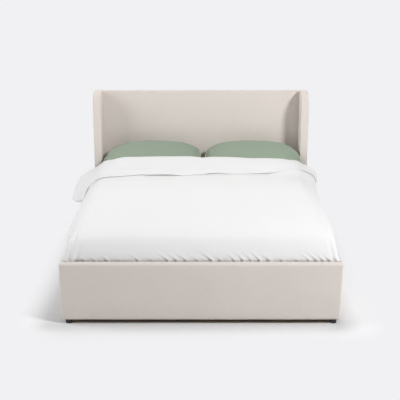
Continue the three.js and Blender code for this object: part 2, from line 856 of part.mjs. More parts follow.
function addDuvet() {
  let soft = solid(loft(duvetStations().map(duvetRing)));
  const wide = outerHalf + duvetFlapReach * 2;
  const half = mattressWidth / 2 + seatGap;
  const long = [footFace, headBack];
  const strapHalf = strapWidth / 2 + seatGap;
  const strapRun = [mattressFoot - strapThickness - seatGap * 2, mattressFoot];
  const beyond = [mattressHead - mattressCorner, headBack];
  const cuts = [
    mattressGeometry(seatGap),
    box([-half, half], beyond, [0, mattressTop + seatGap]),
    box([-strapHalf, strapHalf], strapRun, [0, platformBase + tabRise + strapLength + seatGap]),
    box([half, wide], long, [0, railTop]),
    box([-wide, -half], long, [0, railTop]),
    underPillows(),
  ];
  for (const side of [-1, 1]) {
    cuts.push(pillowGeometry(duvetMargin, mattressTop - duvetMargin).translate(side * pillowOffset, 0, 0));
  }
  for (const piece of cuts) soft = soft.subtract(solid(piece));
  const whole = soft.decompose().reduce((best, next) => (next.volume() > best.volume() ? next : best));
  add('duvet', surface(whole), 'cotton');
}

addHeadboard();
addFootPanel();
for (const [name, side] of sides) {
  addWing(name, side);
  addSideRail(name, side);
}
addFeet();
addStorageFloor();
addCornerBrackets();
addPlatformFrame();
addSlats();
addStopAndStrap();
for (const [name, side] of sides) {
  addBasePlate(name, side);
  addMainArm(name, side);
  addSecondLink(name, side);
  addHanger(name, side);
  addStrut(name, side);
}
add('mattress', mattressGeometry(0), 'ticking');
addPillows();
addDuvet();

export default bed;
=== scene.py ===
# A double ottoman bed dressed as in its photograph: linen upholstery, a white duvet folded back
# over two sage pillows, and the lifting platform inside. Metres, +Z up, +Y towards the headboard.

import json
import math
from functools import cache

import bmesh
import bpy
import numpy as np
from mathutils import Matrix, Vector
from mathutils.bvhtree import BVHTree
from mathutils.kdtree import KDTree


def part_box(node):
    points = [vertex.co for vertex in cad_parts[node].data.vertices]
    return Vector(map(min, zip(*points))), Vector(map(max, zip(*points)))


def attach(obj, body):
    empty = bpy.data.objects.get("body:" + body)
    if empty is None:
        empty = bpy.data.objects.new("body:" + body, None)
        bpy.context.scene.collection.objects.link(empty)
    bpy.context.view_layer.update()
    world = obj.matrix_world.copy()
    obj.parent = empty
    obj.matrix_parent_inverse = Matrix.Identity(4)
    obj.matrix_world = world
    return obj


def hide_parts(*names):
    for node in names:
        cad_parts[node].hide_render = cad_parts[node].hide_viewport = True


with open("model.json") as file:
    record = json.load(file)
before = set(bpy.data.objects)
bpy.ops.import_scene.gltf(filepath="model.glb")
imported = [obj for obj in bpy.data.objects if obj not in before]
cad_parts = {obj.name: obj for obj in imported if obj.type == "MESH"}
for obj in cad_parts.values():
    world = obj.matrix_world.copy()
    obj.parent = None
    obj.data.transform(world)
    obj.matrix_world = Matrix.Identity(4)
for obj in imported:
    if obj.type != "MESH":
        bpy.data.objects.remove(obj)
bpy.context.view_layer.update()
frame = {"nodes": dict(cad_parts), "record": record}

# places taken from the frame

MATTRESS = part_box("mattress")
FOOT_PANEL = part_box("foot_panel_cover")
(RAIL_INNER, _, _), (RAIL_OUTER, _, RAIL_TOP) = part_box("right_side_rail_cover")
MATTRESS_TOP = MATTRESS[1].z
WING_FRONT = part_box("right_wing_cover")[0].y

SIDES = {"left": -1, "right": 1}


def smooth(share):
    """A soft step from 0 to 1."""
    s = np.clip(share, 0.0, 1.0)
    return s * s * (3 - 2 * s)


def mix(share, a, b):
    """a at share 0, b at share 1."""
    return (1 - share) * np.asarray(a) + share * np.asarray(b)


def bell(offset):
    """1 in the middle, falling away on both sides."""
    return np.exp(-(offset**2))


# materials, each built from a few node helpers


def node(tree, kind, inputs=None, **settings):
    made = tree.nodes.new(kind)
    for key, value in settings.items():
        setattr(made, key, value)
    for key, value in (inputs or {}).items():
        if isinstance(value, bpy.types.NodeSocket):
            tree.links.new(value, made.inputs[key])
        else:
            made.inputs[key].default_value = value
    return made


def calc(operation, *values, clamp=False):
    """A sum of numbers and other nodes' outputs, the first of which is an output."""
    inputs = dict(enumerate(values))
    tree = values[0].id_data
    return node(tree, "ShaderNodeMath", inputs, operation=operation, use_clamp=clamp).outputs[0]


def weighed(a, a_share, b, b_share):
    """The sum of two values, each times its share."""
    return calc("ADD", calc("MULTIPLY", a, a_share), calc("MULTIPLY", b, b_share))


def pick(share, a, b):
    """The number a at share 0, b at share 1."""
    inputs = {"Factor": share, "A": a, "B": b}
    return node(a.id_data, "ShaderNodeMix", inputs, data_type="FLOAT").outputs["Result"]


# sockets of a mix of colours: its share, its two colours and its result
MIX_SHARE, MIX_LOW, MIX_HIGH, MIX_RESULT = 0, 6, 7, 2


def shaded(share, color, low, high):
    """The colour, darkened or lightened to low at share 0 and to high at share 1."""
    ends = [(*(min(1.0, channel * tint) for channel in color), 1) for tint in (low, high)]
    inputs = {MIX_SHARE: share, MIX_LOW: ends[0], MIX_HIGH: ends[1]}
    return node(share.id_data, "ShaderNodeMix", inputs, data_type="RGBA").outputs[MIX_RESULT]


def noise(vector, scale, detail=2.0, rough=0.5):
    inputs = {"Vector": vector, "Scale": scale, "Detail": detail, "Roughness": rough}
    return node(vector.id_data, "ShaderNodeTexNoise", inputs).outputs["Fac"]


def object_place(tree):
    return node(tree, "ShaderNodeTexCoord").outputs["Object"]


STEEP_SHARE = 0.7


def cloth_plane(tree):
    """Two coordinates in metres that run along the cloth's threads on level and upright faces."""
    place = node(tree, "ShaderNodeTexCoord").outputs
    x, y, z = node(tree, "ShaderNodeSeparateXYZ", {0: place["Object"]}).outputs
    facing = node(tree, "ShaderNodeSeparateXYZ", {0: place["Normal"]}).outputs["Z"]
    level = calc("GREATER_THAN", calc("ABSOLUTE", facing), STEEP_SHARE)
    across = pick(level, calc("ADD", x, y), x)
    return place["Object"], across, pick(level, z, y)


def thread(along, pitch):
    """A wave of 0 to 1 whose length is one thread's pitch."""
    turn = calc("MULTIPLY", along, math.tau / pitch)
    return calc("MULTIPLY_ADD", calc("SINE", turn), 0.5, 0.5)


STREAK_STRETCH = 24


def streaks(across, along, width):
    """Uneven lines that run along the second coordinate."""
    place = node(across.id_data, "ShaderNodeCombineXYZ", {
        "X": calc("MULTIPLY", across, 1 / width),
        "Y": calc("MULTIPLY", along, 1 / (width * STREAK_STRETCH)),
    })
    return noise(place.outputs[0], scale=1.0, detail=3.0)


def surface(color, roughness, relief, depth, **settings):
    """A shader with bump. Its other inputs are named with low lines for spaces."""
    tree = relief.id_data
    bump = node(tree, "ShaderNodeBump", {"Height": relief, "Distance": depth})
    inputs = {key.replace("_", " "): value for key, value in settings.items()}
    inputs |= {"Base Color": color, "Roughness": roughness, "Normal": bump.outputs[0]}
    return node(tree, "ShaderNodeBsdfPrincipled", inputs)


def woven(tree, color, pitch, slub, contrast, sheen, depth):
    """A plain weave: threads of one pitch with thick and thin stretches."""
    place, across, along = cloth_plane(tree)
    warp, weft = streaks(across, along, slub), streaks(along, across, slub)
    uneven = weighed(warp, 0.4, weft, 0.4)
    mixed = calc("MULTIPLY_ADD", noise(place, scale=5.0, detail=3.0), 0.2, uneven)
    tone = calc("MULTIPLY_ADD", mixed, 2.4, -0.7, clamp=True)
    over = calc("MULTIPLY", thread(across, pitch), thread(along, pitch))
    return surface(
        shaded(tone, color, 1 - contrast, 1 + contrast), 0.92,
        weighed(over, 0.6, uneven, 0.8), depth,
        Sheen_Weight=sheen, Sheen_Roughness=0.5, Specular_IOR_Level=0.2,
    )


def powder_coat(tree, color, roughness, grain):
    """Sprayed or moulded surfaces: one colour with a fine orange-peel grain and faint wear."""
    place = object_place(tree)
    hue = shaded(noise(place, scale=9.0, detail=4.0), color, 0.8, 1.35)
    uneven = calc("MULTIPLY_ADD", noise(place, scale=40.0), 0.12, roughness - 0.06)
    return surface(hue, uneven, noise(place, 1 / grain), grain * 0.06)


def timber(tree, color, ring, axis):
    """Sawn and planed wood with its grain along one axis."""
    squeeze = [0.06 if n == axis else 1.0 for n in range(3)]
    inputs = {"Vector": object_place(tree), "Scale": squeeze}
    place = node(tree, "ShaderNodeMapping", inputs).outputs[0]
    bend = noise(place, scale=6.0, detail=3.0)
    rings = calc("FRACT", calc("MULTIPLY", bend, ring))
    fine = noise(place, scale=160.0, detail=4.0, rough=0.7)
    tone = weighed(rings, 0.6, fine, 0.5)
    hue = shaded(tone, color, 0.74, 1.12)
    return surface(hue, 0.62, tone, 0.0004, Specular_IOR_Level=0.3)


def fibre_board(tree, color):
    place = object_place(tree)
    specks = noise(place, scale=260.0, detail=4.0, rough=0.8)
    tone = weighed(specks, 0.7, noise(place, scale=4.0, detail=3.0), 0.3)
    hue = shaded(tone, color, 0.75, 1.2)
    return surface(hue, 0.7, specks, 0.0003, Specular_IOR_Level=0.35)


def bright_metal(tree, color):
    lines = noise(object_place(tree), scale=900.0)
    uneven = calc("MULTIPLY_ADD", lines, 0.1, 0.14)
    return surface((*color, 1), uneven, lines, 0.00002, Metallic=1.0)


def knit(tree, color, quilt_pitch, course, wale):
    """Mattress ticking: a fine knit over a shallow quilted grid of diamonds, with painted shade in
    the quilting's hollows.
    """
    _, across, along = cloth_plane(tree)
    hills = calc("MULTIPLY", *[
        calc("ABSOLUTE", calc("SINE", calc("MULTIPLY", slant, math.pi / quilt_pitch)))
        for slant in (calc("ADD", across, along), calc("SUBTRACT", across, along))
    ])
    puff = calc("POWER", hills, 0.4)
    loops = calc("MULTIPLY", thread(across, course), thread(along, wale))
    height = weighed(puff, 1.0, loops, 0.08)
    # painted shade: the colour is darker in the quilting's hollows and a little lighter on its
    # puffs
    hue = shaded(puff, color, 0.86, 1.04)
    return surface(hue, 0.9, height, 0.006, Sheen_Weight=0.15, Specular_IOR_Level=0.2)


def shade(owner, output, build, *settings):
    """Gives a material or the world the shader that a function builds."""
    owner.use_nodes = True
    tree = owner.node_tree
    tree.nodes.clear()
    node(tree, output, {"Surface": build(tree, *settings).outputs[0]})
    return owner


def material(name, build, *settings):
    return shade(bpy.data.materials.new(name), "ShaderNodeOutputMaterial", build, *settings)


# each with the function that builds it, and what that takes after the tree
MATERIALS = {name: material(name, *build) for name, *build in (
    ("linen", woven, (0.772, 0.712, 0.662), 0.0012, 0.0028, 0.055, 0.12, 0.0005),
    ("white_cotton", woven, (0.861, 0.861, 0.861), 0.0005, 0.0012, 0.012, 0.05, 0.00012),
    ("sage_cotton", woven, (0.316, 0.384, 0.3), 0.0005, 0.0014, 0.05, 0.08, 0.00015),
    # a lighter copy of the sage cotton: a painted highlight along the pillows' seams
    ("sage_piping", woven, (0.6, 0.65, 0.55), 0.0005, 0.0014, 0.05, 0.08, 0.0001),
    ("ticking", knit, (0.8, 0.785, 0.74), 0.09, 0.0021, 0.0015),
    ("webbing", woven, (0.012, 0.012, 0.013), 0.0022, 0.002, 0.25, 0.1, 0.0007),
    ("backing", woven, (0.026, 0.025, 0.024), 0.0009, 0.003, 0.25, 0.1, 0.0002),
    ("frame_timber", timber, (0.53, 0.36, 0.19), 9.0, 1),
    ("slat_wood", timber, (0.63, 0.45, 0.26), 7.0, 0),
    ("floor_board", fibre_board, (0.33, 0.22, 0.13)),
    ("black_steel", powder_coat, (0.022, 0.023, 0.025), 0.5, 0.0012),
    ("strut_black", powder_coat, (0.012, 0.012, 0.013), 0.3, 0.0006),
    ("strut_rod", bright_metal, (0.62, 0.63, 0.65)),
    ("black_plastic", powder_coat, (0.014, 0.014, 0.014), 0.6, 0.0008),
)}


def paint(piece, slot):
    piece.data.materials.clear()
    piece.data.materials.append(MATERIALS[slot])


# tubes and pieces built from grids of points


def unit(vectors):
    return vectors / np.maximum(np.linalg.norm(vectors, axis=-1, keepdims=True), 1e-12)


def tube(path, radius, up, closed=False, sides=10):
    """Points and faces of a tube along a path, which lies roughly square to the given direction."""
    path = np.array(path, float)
    ids = np.arange(len(path) * sides).reshape(-1, sides)
    if closed:
        along = np.roll(path, -1, axis=0) - np.roll(path, 1, axis=0)
        rings, caps = np.vstack([ids, ids[:1]]), []
    else:
        along = np.vstack([path[1:], path[-1:]]) - np.vstack([path[:1], path[:-1]])
        rings, caps = ids, ids[[0, -1]].tolist()
    across = unit(np.cross(along, up))
    over = unit(np.cross(across, along))
    turns = math.tau * np.arange(sides)[:, None] / sides
    around = np.cos(turns) * across[:, None] + np.sin(turns) * over[:, None]
    a, b = rings, np.roll(rings, -1, axis=1)
    faces = np.stack([a[:-1], b[:-1], b[1:], a[1:]], axis=-1).reshape(-1, 4).tolist()
    return (path[:, None] + radius * around).reshape(-1, 3), faces + caps


def add_object(name, data):
    made = bpy.data.objects.new(name, data)
    bpy.context.scene.collection.objects.link(made)
    return made


def add_mesh(name, points, faces):
    data = bpy.data.meshes.new(name)
    data.from_pydata([tuple(p) for p in points], [], [tuple(f) for f in faces])
    return add_object(name, data)


def mesh_piece(name, points, faces, slot, body, replaced=()):
    """A new smooth piece in the row frame that rides on a body and stands for CAD nodes."""
    piece = add_mesh(name, points, faces)
    weld(piece)
    piece.data.shade_smooth()
    paint(piece, slot)
    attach(piece, body)
    if replaced:
        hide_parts(*replaced)
    return piece


WELD_DISTANCE = 1e-6


def weld(piece):
    """Joins doubled vertices and turns every face outwards."""
    shape = bmesh.new()
    shape.from_mesh(piece.data)
    bmesh.ops.remove_doubles(shape, verts=shape.verts, dist=WELD_DISTANCE)
    bmesh.ops.dissolve_degenerate(shape, edges=shape.edges, dist=WELD_DISTANCE)
    bmesh.ops.recalc_face_normals(shape, faces=shape.faces)
    shape.to_mesh(piece.data)
    shape.free()


def apply_modifiers(piece):
    """Keeps the piece's evaluated mesh and drops its modifiers."""
    graph = bpy.context.evaluated_depsgraph_get()
    made = bpy.data.meshes.new_from_object(piece.evaluated_get(graph))
    piece.modifiers.clear()
    piece.data = made


ROUND_SHARES = np.tan(np.linspace(-math.pi / 4, 0, 7))[:-1]


def axis_lattice(count):
    """Where lattice lines lie along one axis: a share of the flat run, and a lean at its ends."""
    ends = np.zeros_like(ROUND_SHARES)
    shares = np.concatenate([ends, np.linspace(0, 1, count), ends + 1])
    return shares, np.concatenate([ROUND_SHARES, np.zeros(count), -ROUND_SHARES[::-1]])


def rounded_block(low, high, edge, corners, counts):
    """Points and faces of a block with rounded edges. The lattice's first two axes are the plan,
    whose corners, in the order low-low, high-low, high-high, low-high, have their own radii."""
    lattices = [axis_lattice(n) for n in counts]
    sizes = [len(shares) for shares, _ in lattices]
    (sa, la), (sb, lb), (sc, lc) = lattices
    radii = [r - edge for r in corners]
    points, faces = [], []

    @cache
    def place(i, j, k):
        a, b, c = sa[i], sb[j], sc[k]
        low_a, high_a = mix(b, radii[0], radii[3]), mix(b, radii[1], radii[2])
        low_b, high_b = mix(a, radii[0], radii[1]), mix(a, radii[3], radii[2])
        core = np.array([
            mix(a, low[0] + edge + low_a, high[0] - edge - high_a),
            mix(b, low[1] + edge + low_b, high[1] - edge - high_b),
            mix(c, low[2] + edge, high[2] - edge),
        ])
        lean = np.array([la[i], lb[j], lc[k]])
        plan = math.hypot(lean[0], lean[1])
        out = lean / np.linalg.norm(lean) * edge
        if plan > 0:
            by_a = abs(lean[0]) >= abs(lean[1])
            radius = mix(a, low_a, high_a) if by_a else mix(b, low_b, high_b)
            out[:2] += lean[:2] / plan * radius
        points.append(core + out)
        return len(points) - 1

    for axis in range(3):
        u, v = [n for n in range(3) if n != axis]
        for end in (0, sizes[axis] - 1):
            for p in range(sizes[u] - 1):
                for q in range(sizes[v] - 1):
                    corner = [0, 0, 0]
                    ring = []
                    for dp, dq in ((0, 0), (1, 0), (1, 1), (0, 1)):
                        corner[axis], corner[u], corner[v] = end, p + dp, q + dq
                        ring.append(place(*corner))
                    faces.append(ring)
    return np.array(points), faces


WAVE_COUNT = 14


def ripple(points, amount, length, seed):
    """Soft unevenness of a padded surface: a few long waves added together."""
    random = np.random.default_rng(seed)
    total = np.zeros(len(points))
    for _ in range(WAVE_COUNT):
        direction = random.normal(size=3)
        direction *= math.tau / length / np.linalg.norm(direction) * random.uniform(0.5, 1.6)
        total += np.sin(points @ direction + random.uniform(0, math.tau))
    return total * amount / math.sqrt(WAVE_COUNT / 2)


# the upholstered pads, hollow where their timber cores sit

PAD_ROUND = 0.013
PAD_CROWN = 0.0025
PAD_RIPPLE = 0.0006
PAD_RIPPLE_LENGTH = 0.22


def crown(points, low, high, axis, open_side):
    """Pushes both faces across an axis out between the edges, as foam under stretched cloth."""
    share = np.ones(len(points))
    for n in {0, 1, 2} - {axis}:
        t = (points[:, n] - low[n]) / (high[n] - low[n])
        share *= 1 - np.clip(np.abs(t * 2 - 1), 0, 1) ** 8
    side = np.sign(points[:, axis] - (low[axis] + high[axis]) / 2)
    points[:, axis] += np.where(side == open_side, 0, side) * share * PAD_CROWN


def turned_block(low, high, plan, edge, corners, counts):
    """A rounded block whose plan lies on two chosen axes."""
    order = [*plan, 3 - sum(plan)]
    points, faces = rounded_block(
        [low[n] for n in order], [high[n] for n in order], edge, corners, counts,
    )
    placed = np.empty_like(points)
    placed[:, order] = points
    return placed, faces


ROOM_GAP = 0.0003
ROOM_PAST = 0.05
ROOM_EDGE = 0.0002
ROOM_CORNER = ROOM_EDGE * 2


def cut_box(piece, low, high, plan, last_corner=0.0):
    """Cuts a box out of a piece. The last corner of the box's plan may be round."""
    corners = (ROOM_CORNER, ROOM_CORNER, ROOM_CORNER, max(ROOM_CORNER, last_corner))
    room = add_mesh("room", *turned_block(low, high, plan, ROOM_EDGE, corners, (2, 2, 2)))
    room.data.validate()
    cutter = piece.modifiers.new("room", "BOOLEAN")
    cutter.operation = "DIFFERENCE"
    cutter.object = room
    cutter.solver = "EXACT"
    apply_modifiers(piece)
    bpy.data.objects.remove(room)


def core_room(core, open_ends):
    """The box that a timber core sits in, run past the cover at the open ends: (axis, way)."""
    low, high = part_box(core)
    low = [c - ROOM_GAP for c in low]
    high = [c + ROOM_GAP for c in high]
    for axis, way in open_ends:
        (low if way < 0 else high)[axis] += way * ROOM_PAST
    return low, high


def upholstered(
    name, cover, plan, corners, counts, open_ends,
    rear=None, taper=0.0, open_side=0, room_corner=0.0,
):
    """A padded cover: a rounded block on the given plan axes, hollow where its timber core sits."""
    low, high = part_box(cover)
    if rear is not None:
        high = Vector((high.x, rear, high.z))
    deep = 3 - sum(plan)
    placed, faces = turned_block(low, high, plan, PAD_ROUND, corners, counts)
    crown(placed, low, high, deep, open_side)
    up = (placed[:, 2] - low[2]) / (high[2] - low[2])
    placed[:, 0] *= 1 - taper * (1 - up)
    seed = sum(ord(letter) for letter in name)
    placed[:, deep] += ripple(placed, PAD_RIPPLE, PAD_RIPPLE_LENGTH, seed)
    piece = mesh_piece(name, placed, faces, "linen", "frame", [cover])
    core = cover.rsplit("_", 1)[0] + "_core"
    cut_box(piece, *core_room(core, open_ends), plan, room_corner)
    return piece


def headboard():
    low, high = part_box("headboard_pad")
    piece = upholstered(
        "headboard_upholstery", "headboard_pad", (0, 2), (0.016, 0.016, 0.026, 0.026), (90, 60, 3),
        [(1, 1), (2, -1)], rear=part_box("headboard_back_cover")[0].y + PAD_ROUND, open_side=1,
    )
    past = 0.1
    behind = (high.x + past, high.y + past, high.z + past)
    cut_box(piece, (low.x - past, high.y, low.z - past), behind, (0, 2))


WING_CORNER = 0.12
WELT_RADIUS = 0.0055
WELT_INSET = 0.0048


def wing(name, side):
    low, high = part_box(f"{name}_wing_cover")
    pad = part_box(f"{name}_wing_core")[0].y - low.y
    for place, way in (("outer", side), ("inner", -side)):
        x = high.x - WELT_INSET if way > 0 else low.x + WELT_INSET
        welt = tube(wing_edge(low, high, x), WELT_RADIUS, (1, 0, 0))
        mesh_piece(f"{name}_wing_{place}_welt", *welt, "linen", "frame")
    upholstered(
        f"{name}_wing_upholstery", f"{name}_wing_cover", (1, 2), (0.014, 0.014, 0.016, WING_CORNER),
        (10, 60, 4), [(2, -1)], room_corner=WING_CORNER - pad,
    )


def wing_edge(low, high, x):
    """A wing's seam: up its front edge, round its corner and back along its top."""
    front, top = low.y + WELT_INSET, high.z - WELT_INSET
    reach = WING_CORNER - WELT_INSET
    y, z = low.y + WING_CORNER, high.z - WING_CORNER
    places = [(x, front, up) for up in np.linspace(low.z + PAD_ROUND, z, 40)[:-1]]
    for turn in np.linspace(0, math.pi / 2, 17):
        places.append((x, y - reach * math.cos(turn), z + reach * math.sin(turn)))
    return places + [(x, back, top) for back in np.linspace(y, high.y - PAD_ROUND, 6)[1:]]


FOOT_TAPER = 0.009

headboard()
upholstered(
    "foot_panel_upholstery", "foot_panel_cover", (0, 2), (0.016,) * 4, (100, 24, 4), [(2, -1)],
    taper=FOOT_TAPER / FOOT_PANEL[1].x,
)
for name, side in SIDES.items():
    wing(name, side)
    upholstered(
        f"{name}_rail_upholstery", f"{name}_side_rail_cover", (1, 2), (0.0135,) * 4, (110, 24, 4),
        [(2, -1), (1, -1), (1, 1)],
    )


# curves and shells that the bedding is made from


CURVE_STEPS = 24


def curve_through(places, shares):
    """Points on a smooth curve through the places, at the given shares of its length."""
    p = np.asarray(places, float)
    p = np.vstack([2 * p[0] - p[1], p, 2 * p[-1] - p[-2]])
    t = np.linspace(0, 1, CURVE_STEPS, endpoint=False)[:, None]
    dense = []
    for a, b, c, d in zip(p[:-3], p[1:-2], p[2:-1], p[3:]):
        squares, cubes = 2 * a - 5 * b + 4 * c - d, 3 * b - a - 3 * c + d
        dense.append(0.5 * (2 * b + (c - a) * t + squares * t**2 + cubes * t**3))
    dense = np.vstack([*dense, p[-2:-1]])
    run = lengths_along(dense)
    at = np.asarray(shares) * run[-1]
    return np.column_stack([np.interp(at, run, dense[:, n]) for n in range(dense.shape[1])])


def lengths_along(line):
    return np.concatenate([[0], np.cumsum(np.linalg.norm(np.diff(line, axis=0), axis=1))])


def spaced(*runs):
    """Shares from 0 to 1 in runs of (end share, number of steps)."""
    made, start = [0.0], 0.0
    for end, steps in runs:
        made.extend(np.linspace(start, end, steps + 1)[1:])
        start = end
    return np.array(made)


def table_at(where, table):
    """A row of a table of (place, values...), read between its rows."""
    places, *columns = np.array(table).T
    return np.array([np.interp(where, places, column) for column in columns])


def shell_faces(rows, columns):
    """Faces of a closed shell between two grids of one size, joined round their rims."""
    ids = np.arange(rows * columns).reshape(rows, columns)
    a = ids[:-1, :-1].ravel()
    b = a + ids.size
    outer = [a, a + 1, a + columns + 1, a + columns]
    inner = [b, b + columns, b + columns + 1, b + 1]
    faces = np.array([outer, inner]).transpose(2, 0, 1).reshape(-1, 4)
    rim = np.concatenate([ids[0], ids[1:, -1], ids[-1, -2::-1], ids[-2:0:-1, 0]])
    after = np.roll(rim, -1)
    edge = np.column_stack([rim, rim + ids.size, after + ids.size, after])
    return np.vstack([faces, edge]).tolist()


def shell_piece(name, outer, inner, slot, body, replaced):
    points = np.vstack([outer.reshape(-1, 3), inner.reshape(-1, 3)])
    return mesh_piece(name, points, shell_faces(*outer.shape[:2]), slot, body, replaced)


# the duvet: one quilt, tucked in behind the foot panel, folded back on the pillows

MATTRESS_EDGE = 0.06
DUVET_TOP = MATTRESS_TOP + 0.038
DUVET_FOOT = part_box("duvet")[0].y
HEM_Y = 0.52
BAND_RISE = 0.01
FLAT_HALF = 0.7
QUILT_DEPTH = 0.028
TUCKED_DEPTH = 0.004


def placed_from(y, z, places):
    return [(y + across, z + up) for across, up in places]


# the middle of the bed as (y, z): the tuck, the turn at the foot, then the top up to the fold
CENTRE_PLACES = [
    *placed_from(DUVET_FOOT, RAIL_TOP, [
        (0.01, -0.044), (-0.01, -0.02), (-0.018, -0.001), (-0.0205, 0.014),
    ]),
    *placed_from(DUVET_FOOT, DUVET_TOP, [
        (-0.0135, -0.126), (0.003, -0.092), (0.0246, -0.062), (0.0526, -0.04), (0.0946, -0.0245),
        (0.15, -0.0125), (0.225, -0.0045), (0.33, -0.0006), (0.46, 0),
    ]),
    *placed_from(0, DUVET_TOP, [
        (-0.2, 0.001), (0.2, 0), (0.46, 0), (0.52, 0.006), (0.56, 0.026), (0.588, 0.053),
        (0.62, 0.077), (0.652, 0.096), (0.677, 0.107), (0.696, 0.107), (0.707, 0.096),
        (0.704, 0.082),
    ]),
]
CENTRE = curve_through(CENTRE_PLACES, np.linspace(0, 1, 1600))
RUN = lengths_along(CENTRE)
ON_TOP = (CENTRE[:, 1] > DUVET_TOP - 0.03) & (RUN < RUN[-1] - 0.06)


def run_at(y):
    """How far along the centre line a place on the mattress's top lies."""
    return np.interp(y, CENTRE[ON_TOP, 0], RUN[ON_TOP])


# where each side of the quilt reaches furthest out: (y, x, z)
LEFT_MAIN = [
    (-1.02, 0.84, 0.436), (-0.84, 0.864, 0.436), (-0.67, 0.88, 0.436), (-0.4, 0.886, 0.436),
    (-0.1, 0.881, 0.434), (0.5, 0.886, 0.43),
]
RIGHT_MAIN = [
    (-1.02, 0.838, 0.436), (-0.84, 0.856, 0.436), (-0.67, 0.871, 0.436), (-0.4, 0.878, 0.436),
    (-0.1, 0.886, 0.436), (0.28, 0.908, 0.436), (0.5, 0.92, 0.446), (0.62, 0.925, 0.47),
]
# the same for the turned-back band, with its sag and how the pillow props it
LEFT_BAND = [
    (0.42, 0.922, 0.378, 0.026, 0), (0.528, 0.926, 0.376, 0.026, 0),
    (0.56, 0.985, 0.358, 0.026, 0.004), (0.6, 1.022, 0.358, 0.024, 0.01),
    (0.66, 1.014, 0.397, 0.014, 0.018), (0.71, 0.992, 0.446, 0.004, 0.022),
    (0.77, 0.952, 0.486, -0.004, 0.024), (0.835, 0.882, 0.52, -0.01, 0.026),
]
RIGHT_BAND = [
    (0.42, 0.926, 0.448, 0, 0), (0.525, 0.93, 0.466, -0.004, 0.004),
    (0.62, 0.932, 0.484, -0.006, 0.014), (0.7, 0.918, 0.498, -0.008, 0.024),
    (0.77, 0.89, 0.514, -0.01, 0.032), (0.835, 0.856, 0.534, -0.01, 0.038),
]
# both, and how thin the band is below: only the flap on the left shows a thin edge
BORDERS = ((LEFT_MAIN, LEFT_BAND, 1.0), (RIGHT_MAIN, RIGHT_BAND, 0.0))

SIDE_SHARES = spaced((0.34, 22), (0.62, 20), (1.0, 12))
SIDE_LENGTH = 0.42
TOP_STEPS = 300
# how far out from the bed's middle a side starts to ease down, turns over and is held up
EASE_X, SHOULDER_X, UNDER_X = 0.765, 0.815, 0.862


def side_section(tip_x, tip_z, sag, prop, thin):
    """One side as (x, z): over the mattress's edge, out to the furthest place, back in and down."""
    shoulder = np.array([SHOULDER_X, DUVET_TOP - 0.028 + prop])
    tip = np.array([tip_x, tip_z])
    low = np.array([0.0, sag])
    over = [
        (FLAT_HALF, DUVET_TOP), (EASE_X, DUVET_TOP - 0.007 + 0.7 * prop), shoulder,
        shoulder + (tip - shoulder) * (0.62, 0.34) - low * 0.9,
        shoulder + (tip - shoulder) * (0.9, 0.68) - low * 0.7,
        tip,
    ]
    round_under = [
        tip + (-0.002, -0.018), tip + (-0.012, -0.034),
        (max(tip_x - 0.04, UNDER_X), RAIL_TOP + 0.007), (RAIL_INNER + 0.02, RAIL_TOP + 0.004),
    ]
    thin_under = [
        tip + (-0.003, -0.012), tip + (-0.018, -0.012),
        (RAIL_OUTER + 0.012, RAIL_TOP + 0.004), (RAIL_INNER + 0.04, RAIL_TOP + 0.006),
    ]
    under = mix(thin, round_under, thin_under)
    tucked = placed_from(RAIL_INNER, RAIL_TOP, [(-0.004, -0.012), (-0.005, -0.045)])
    return curve_through(np.vstack([over, under, tucked]), SIDE_SHARES)


# the turned-back hem as (x, how far it strays from its usual line, how loose it lies)
HEM_PLACES = [
    (-0.7, -0.044, 0.28), (-0.6, -0.012, 0.2), (-0.47, 0.008, 0.2), (-0.4, -0.004, 0.6),
    (-0.31, -0.01, 1), (-0.22, -0.01, 0.7), (-0.16, -0.009, 0.1), (-0.08, -0.005, 0), (0, 0.002, 0),
    (0.06, 0.006, 0.7), (0.15, 0.02, 0.6), (0.24, 0.012, 0.2), (0.34, 0.016, 0.1),
    (0.43, 0.014, 0.6), (0.52, 0.018, 0.8), (0.6, 0.038, 0.2), (0.66, 0.052, 0), (0.74, 0.072, 0),
    (0.8, 0.1, 0.5), (0.87, 0.128, 0.7), (0.95, 0.14, 0.4), (1.12, 0.14, 0.4),
]
SNUG_SHARE = 0.45

# the rows at the hem: (step along the quilt, rise), and how much more of each where it lies loose
HEM_ROWS = [
    (-0.018, 0, 0, 0), (-0.008, 0, 0, 0), (0, 0, 0.002, 0), (0.004, 0, 0.01, 0),
    (0.008, 0.03, 0.022, 0.05), (0.0095, 0.1, 0.026, 0.45), (0.0075, 0.15, 0.02, 0.75),
    (0.002, 0.18, 0.008, 0.85), (-0.0035, 0.32, 0, 0.92), (-0.0052, 0.6, -0.001, 1),
    (-0.0035, 0.88, 0, 1), (0.003, 1, 0, 0.96), (0.014, 1, 0.004, 0.78), (0.03, 1, 0.012, 0.42),
]
# the shares of the quilt before the hem, and after it, at which rows lie
BEFORE_HEM = spaced((0.036, 14), (0.085, 26), (0.17, 22), (0.3, 16), (0.95, 56), (1.0, 8))[:-1]
AFTER_HEM = spaced((0.35, 16), (0.82, 34), (1.0, 22))[1:]
SETTLED_SHARE = 0.4


def duvet_rows(across):
    """For every point of the grid: how far along the quilt it lies and how far the band lifts it.
    For every row: how far it belongs to the turned-back band."""
    stray, loose = table_at(across, HEM_PLACES)
    hems = run_at(HEM_Y + stray)
    step, base, more_step, more = np.array(HEM_ROWS).T[..., None]
    runs = hems + step + more_step * loose
    rise = base * (SNUG_SHARE + (1 - SNUG_SHARE) * loose) + more * loose
    before, after = BEFORE_HEM[:, None], AFTER_HEM[:, None]
    first = before * (hems + HEM_ROWS[0][0])
    last = mix(after, runs[-1], RUN[-1] - 1e-5)
    settled = mix(smooth(after / SETTLED_SHARE), rise[-1], 1.0)
    turned = np.vstack([before * 0, base, after * 0 + 1])[:, 0]
    return np.vstack([first, runs, last]), np.vstack([first * 0, rise, settled]), turned


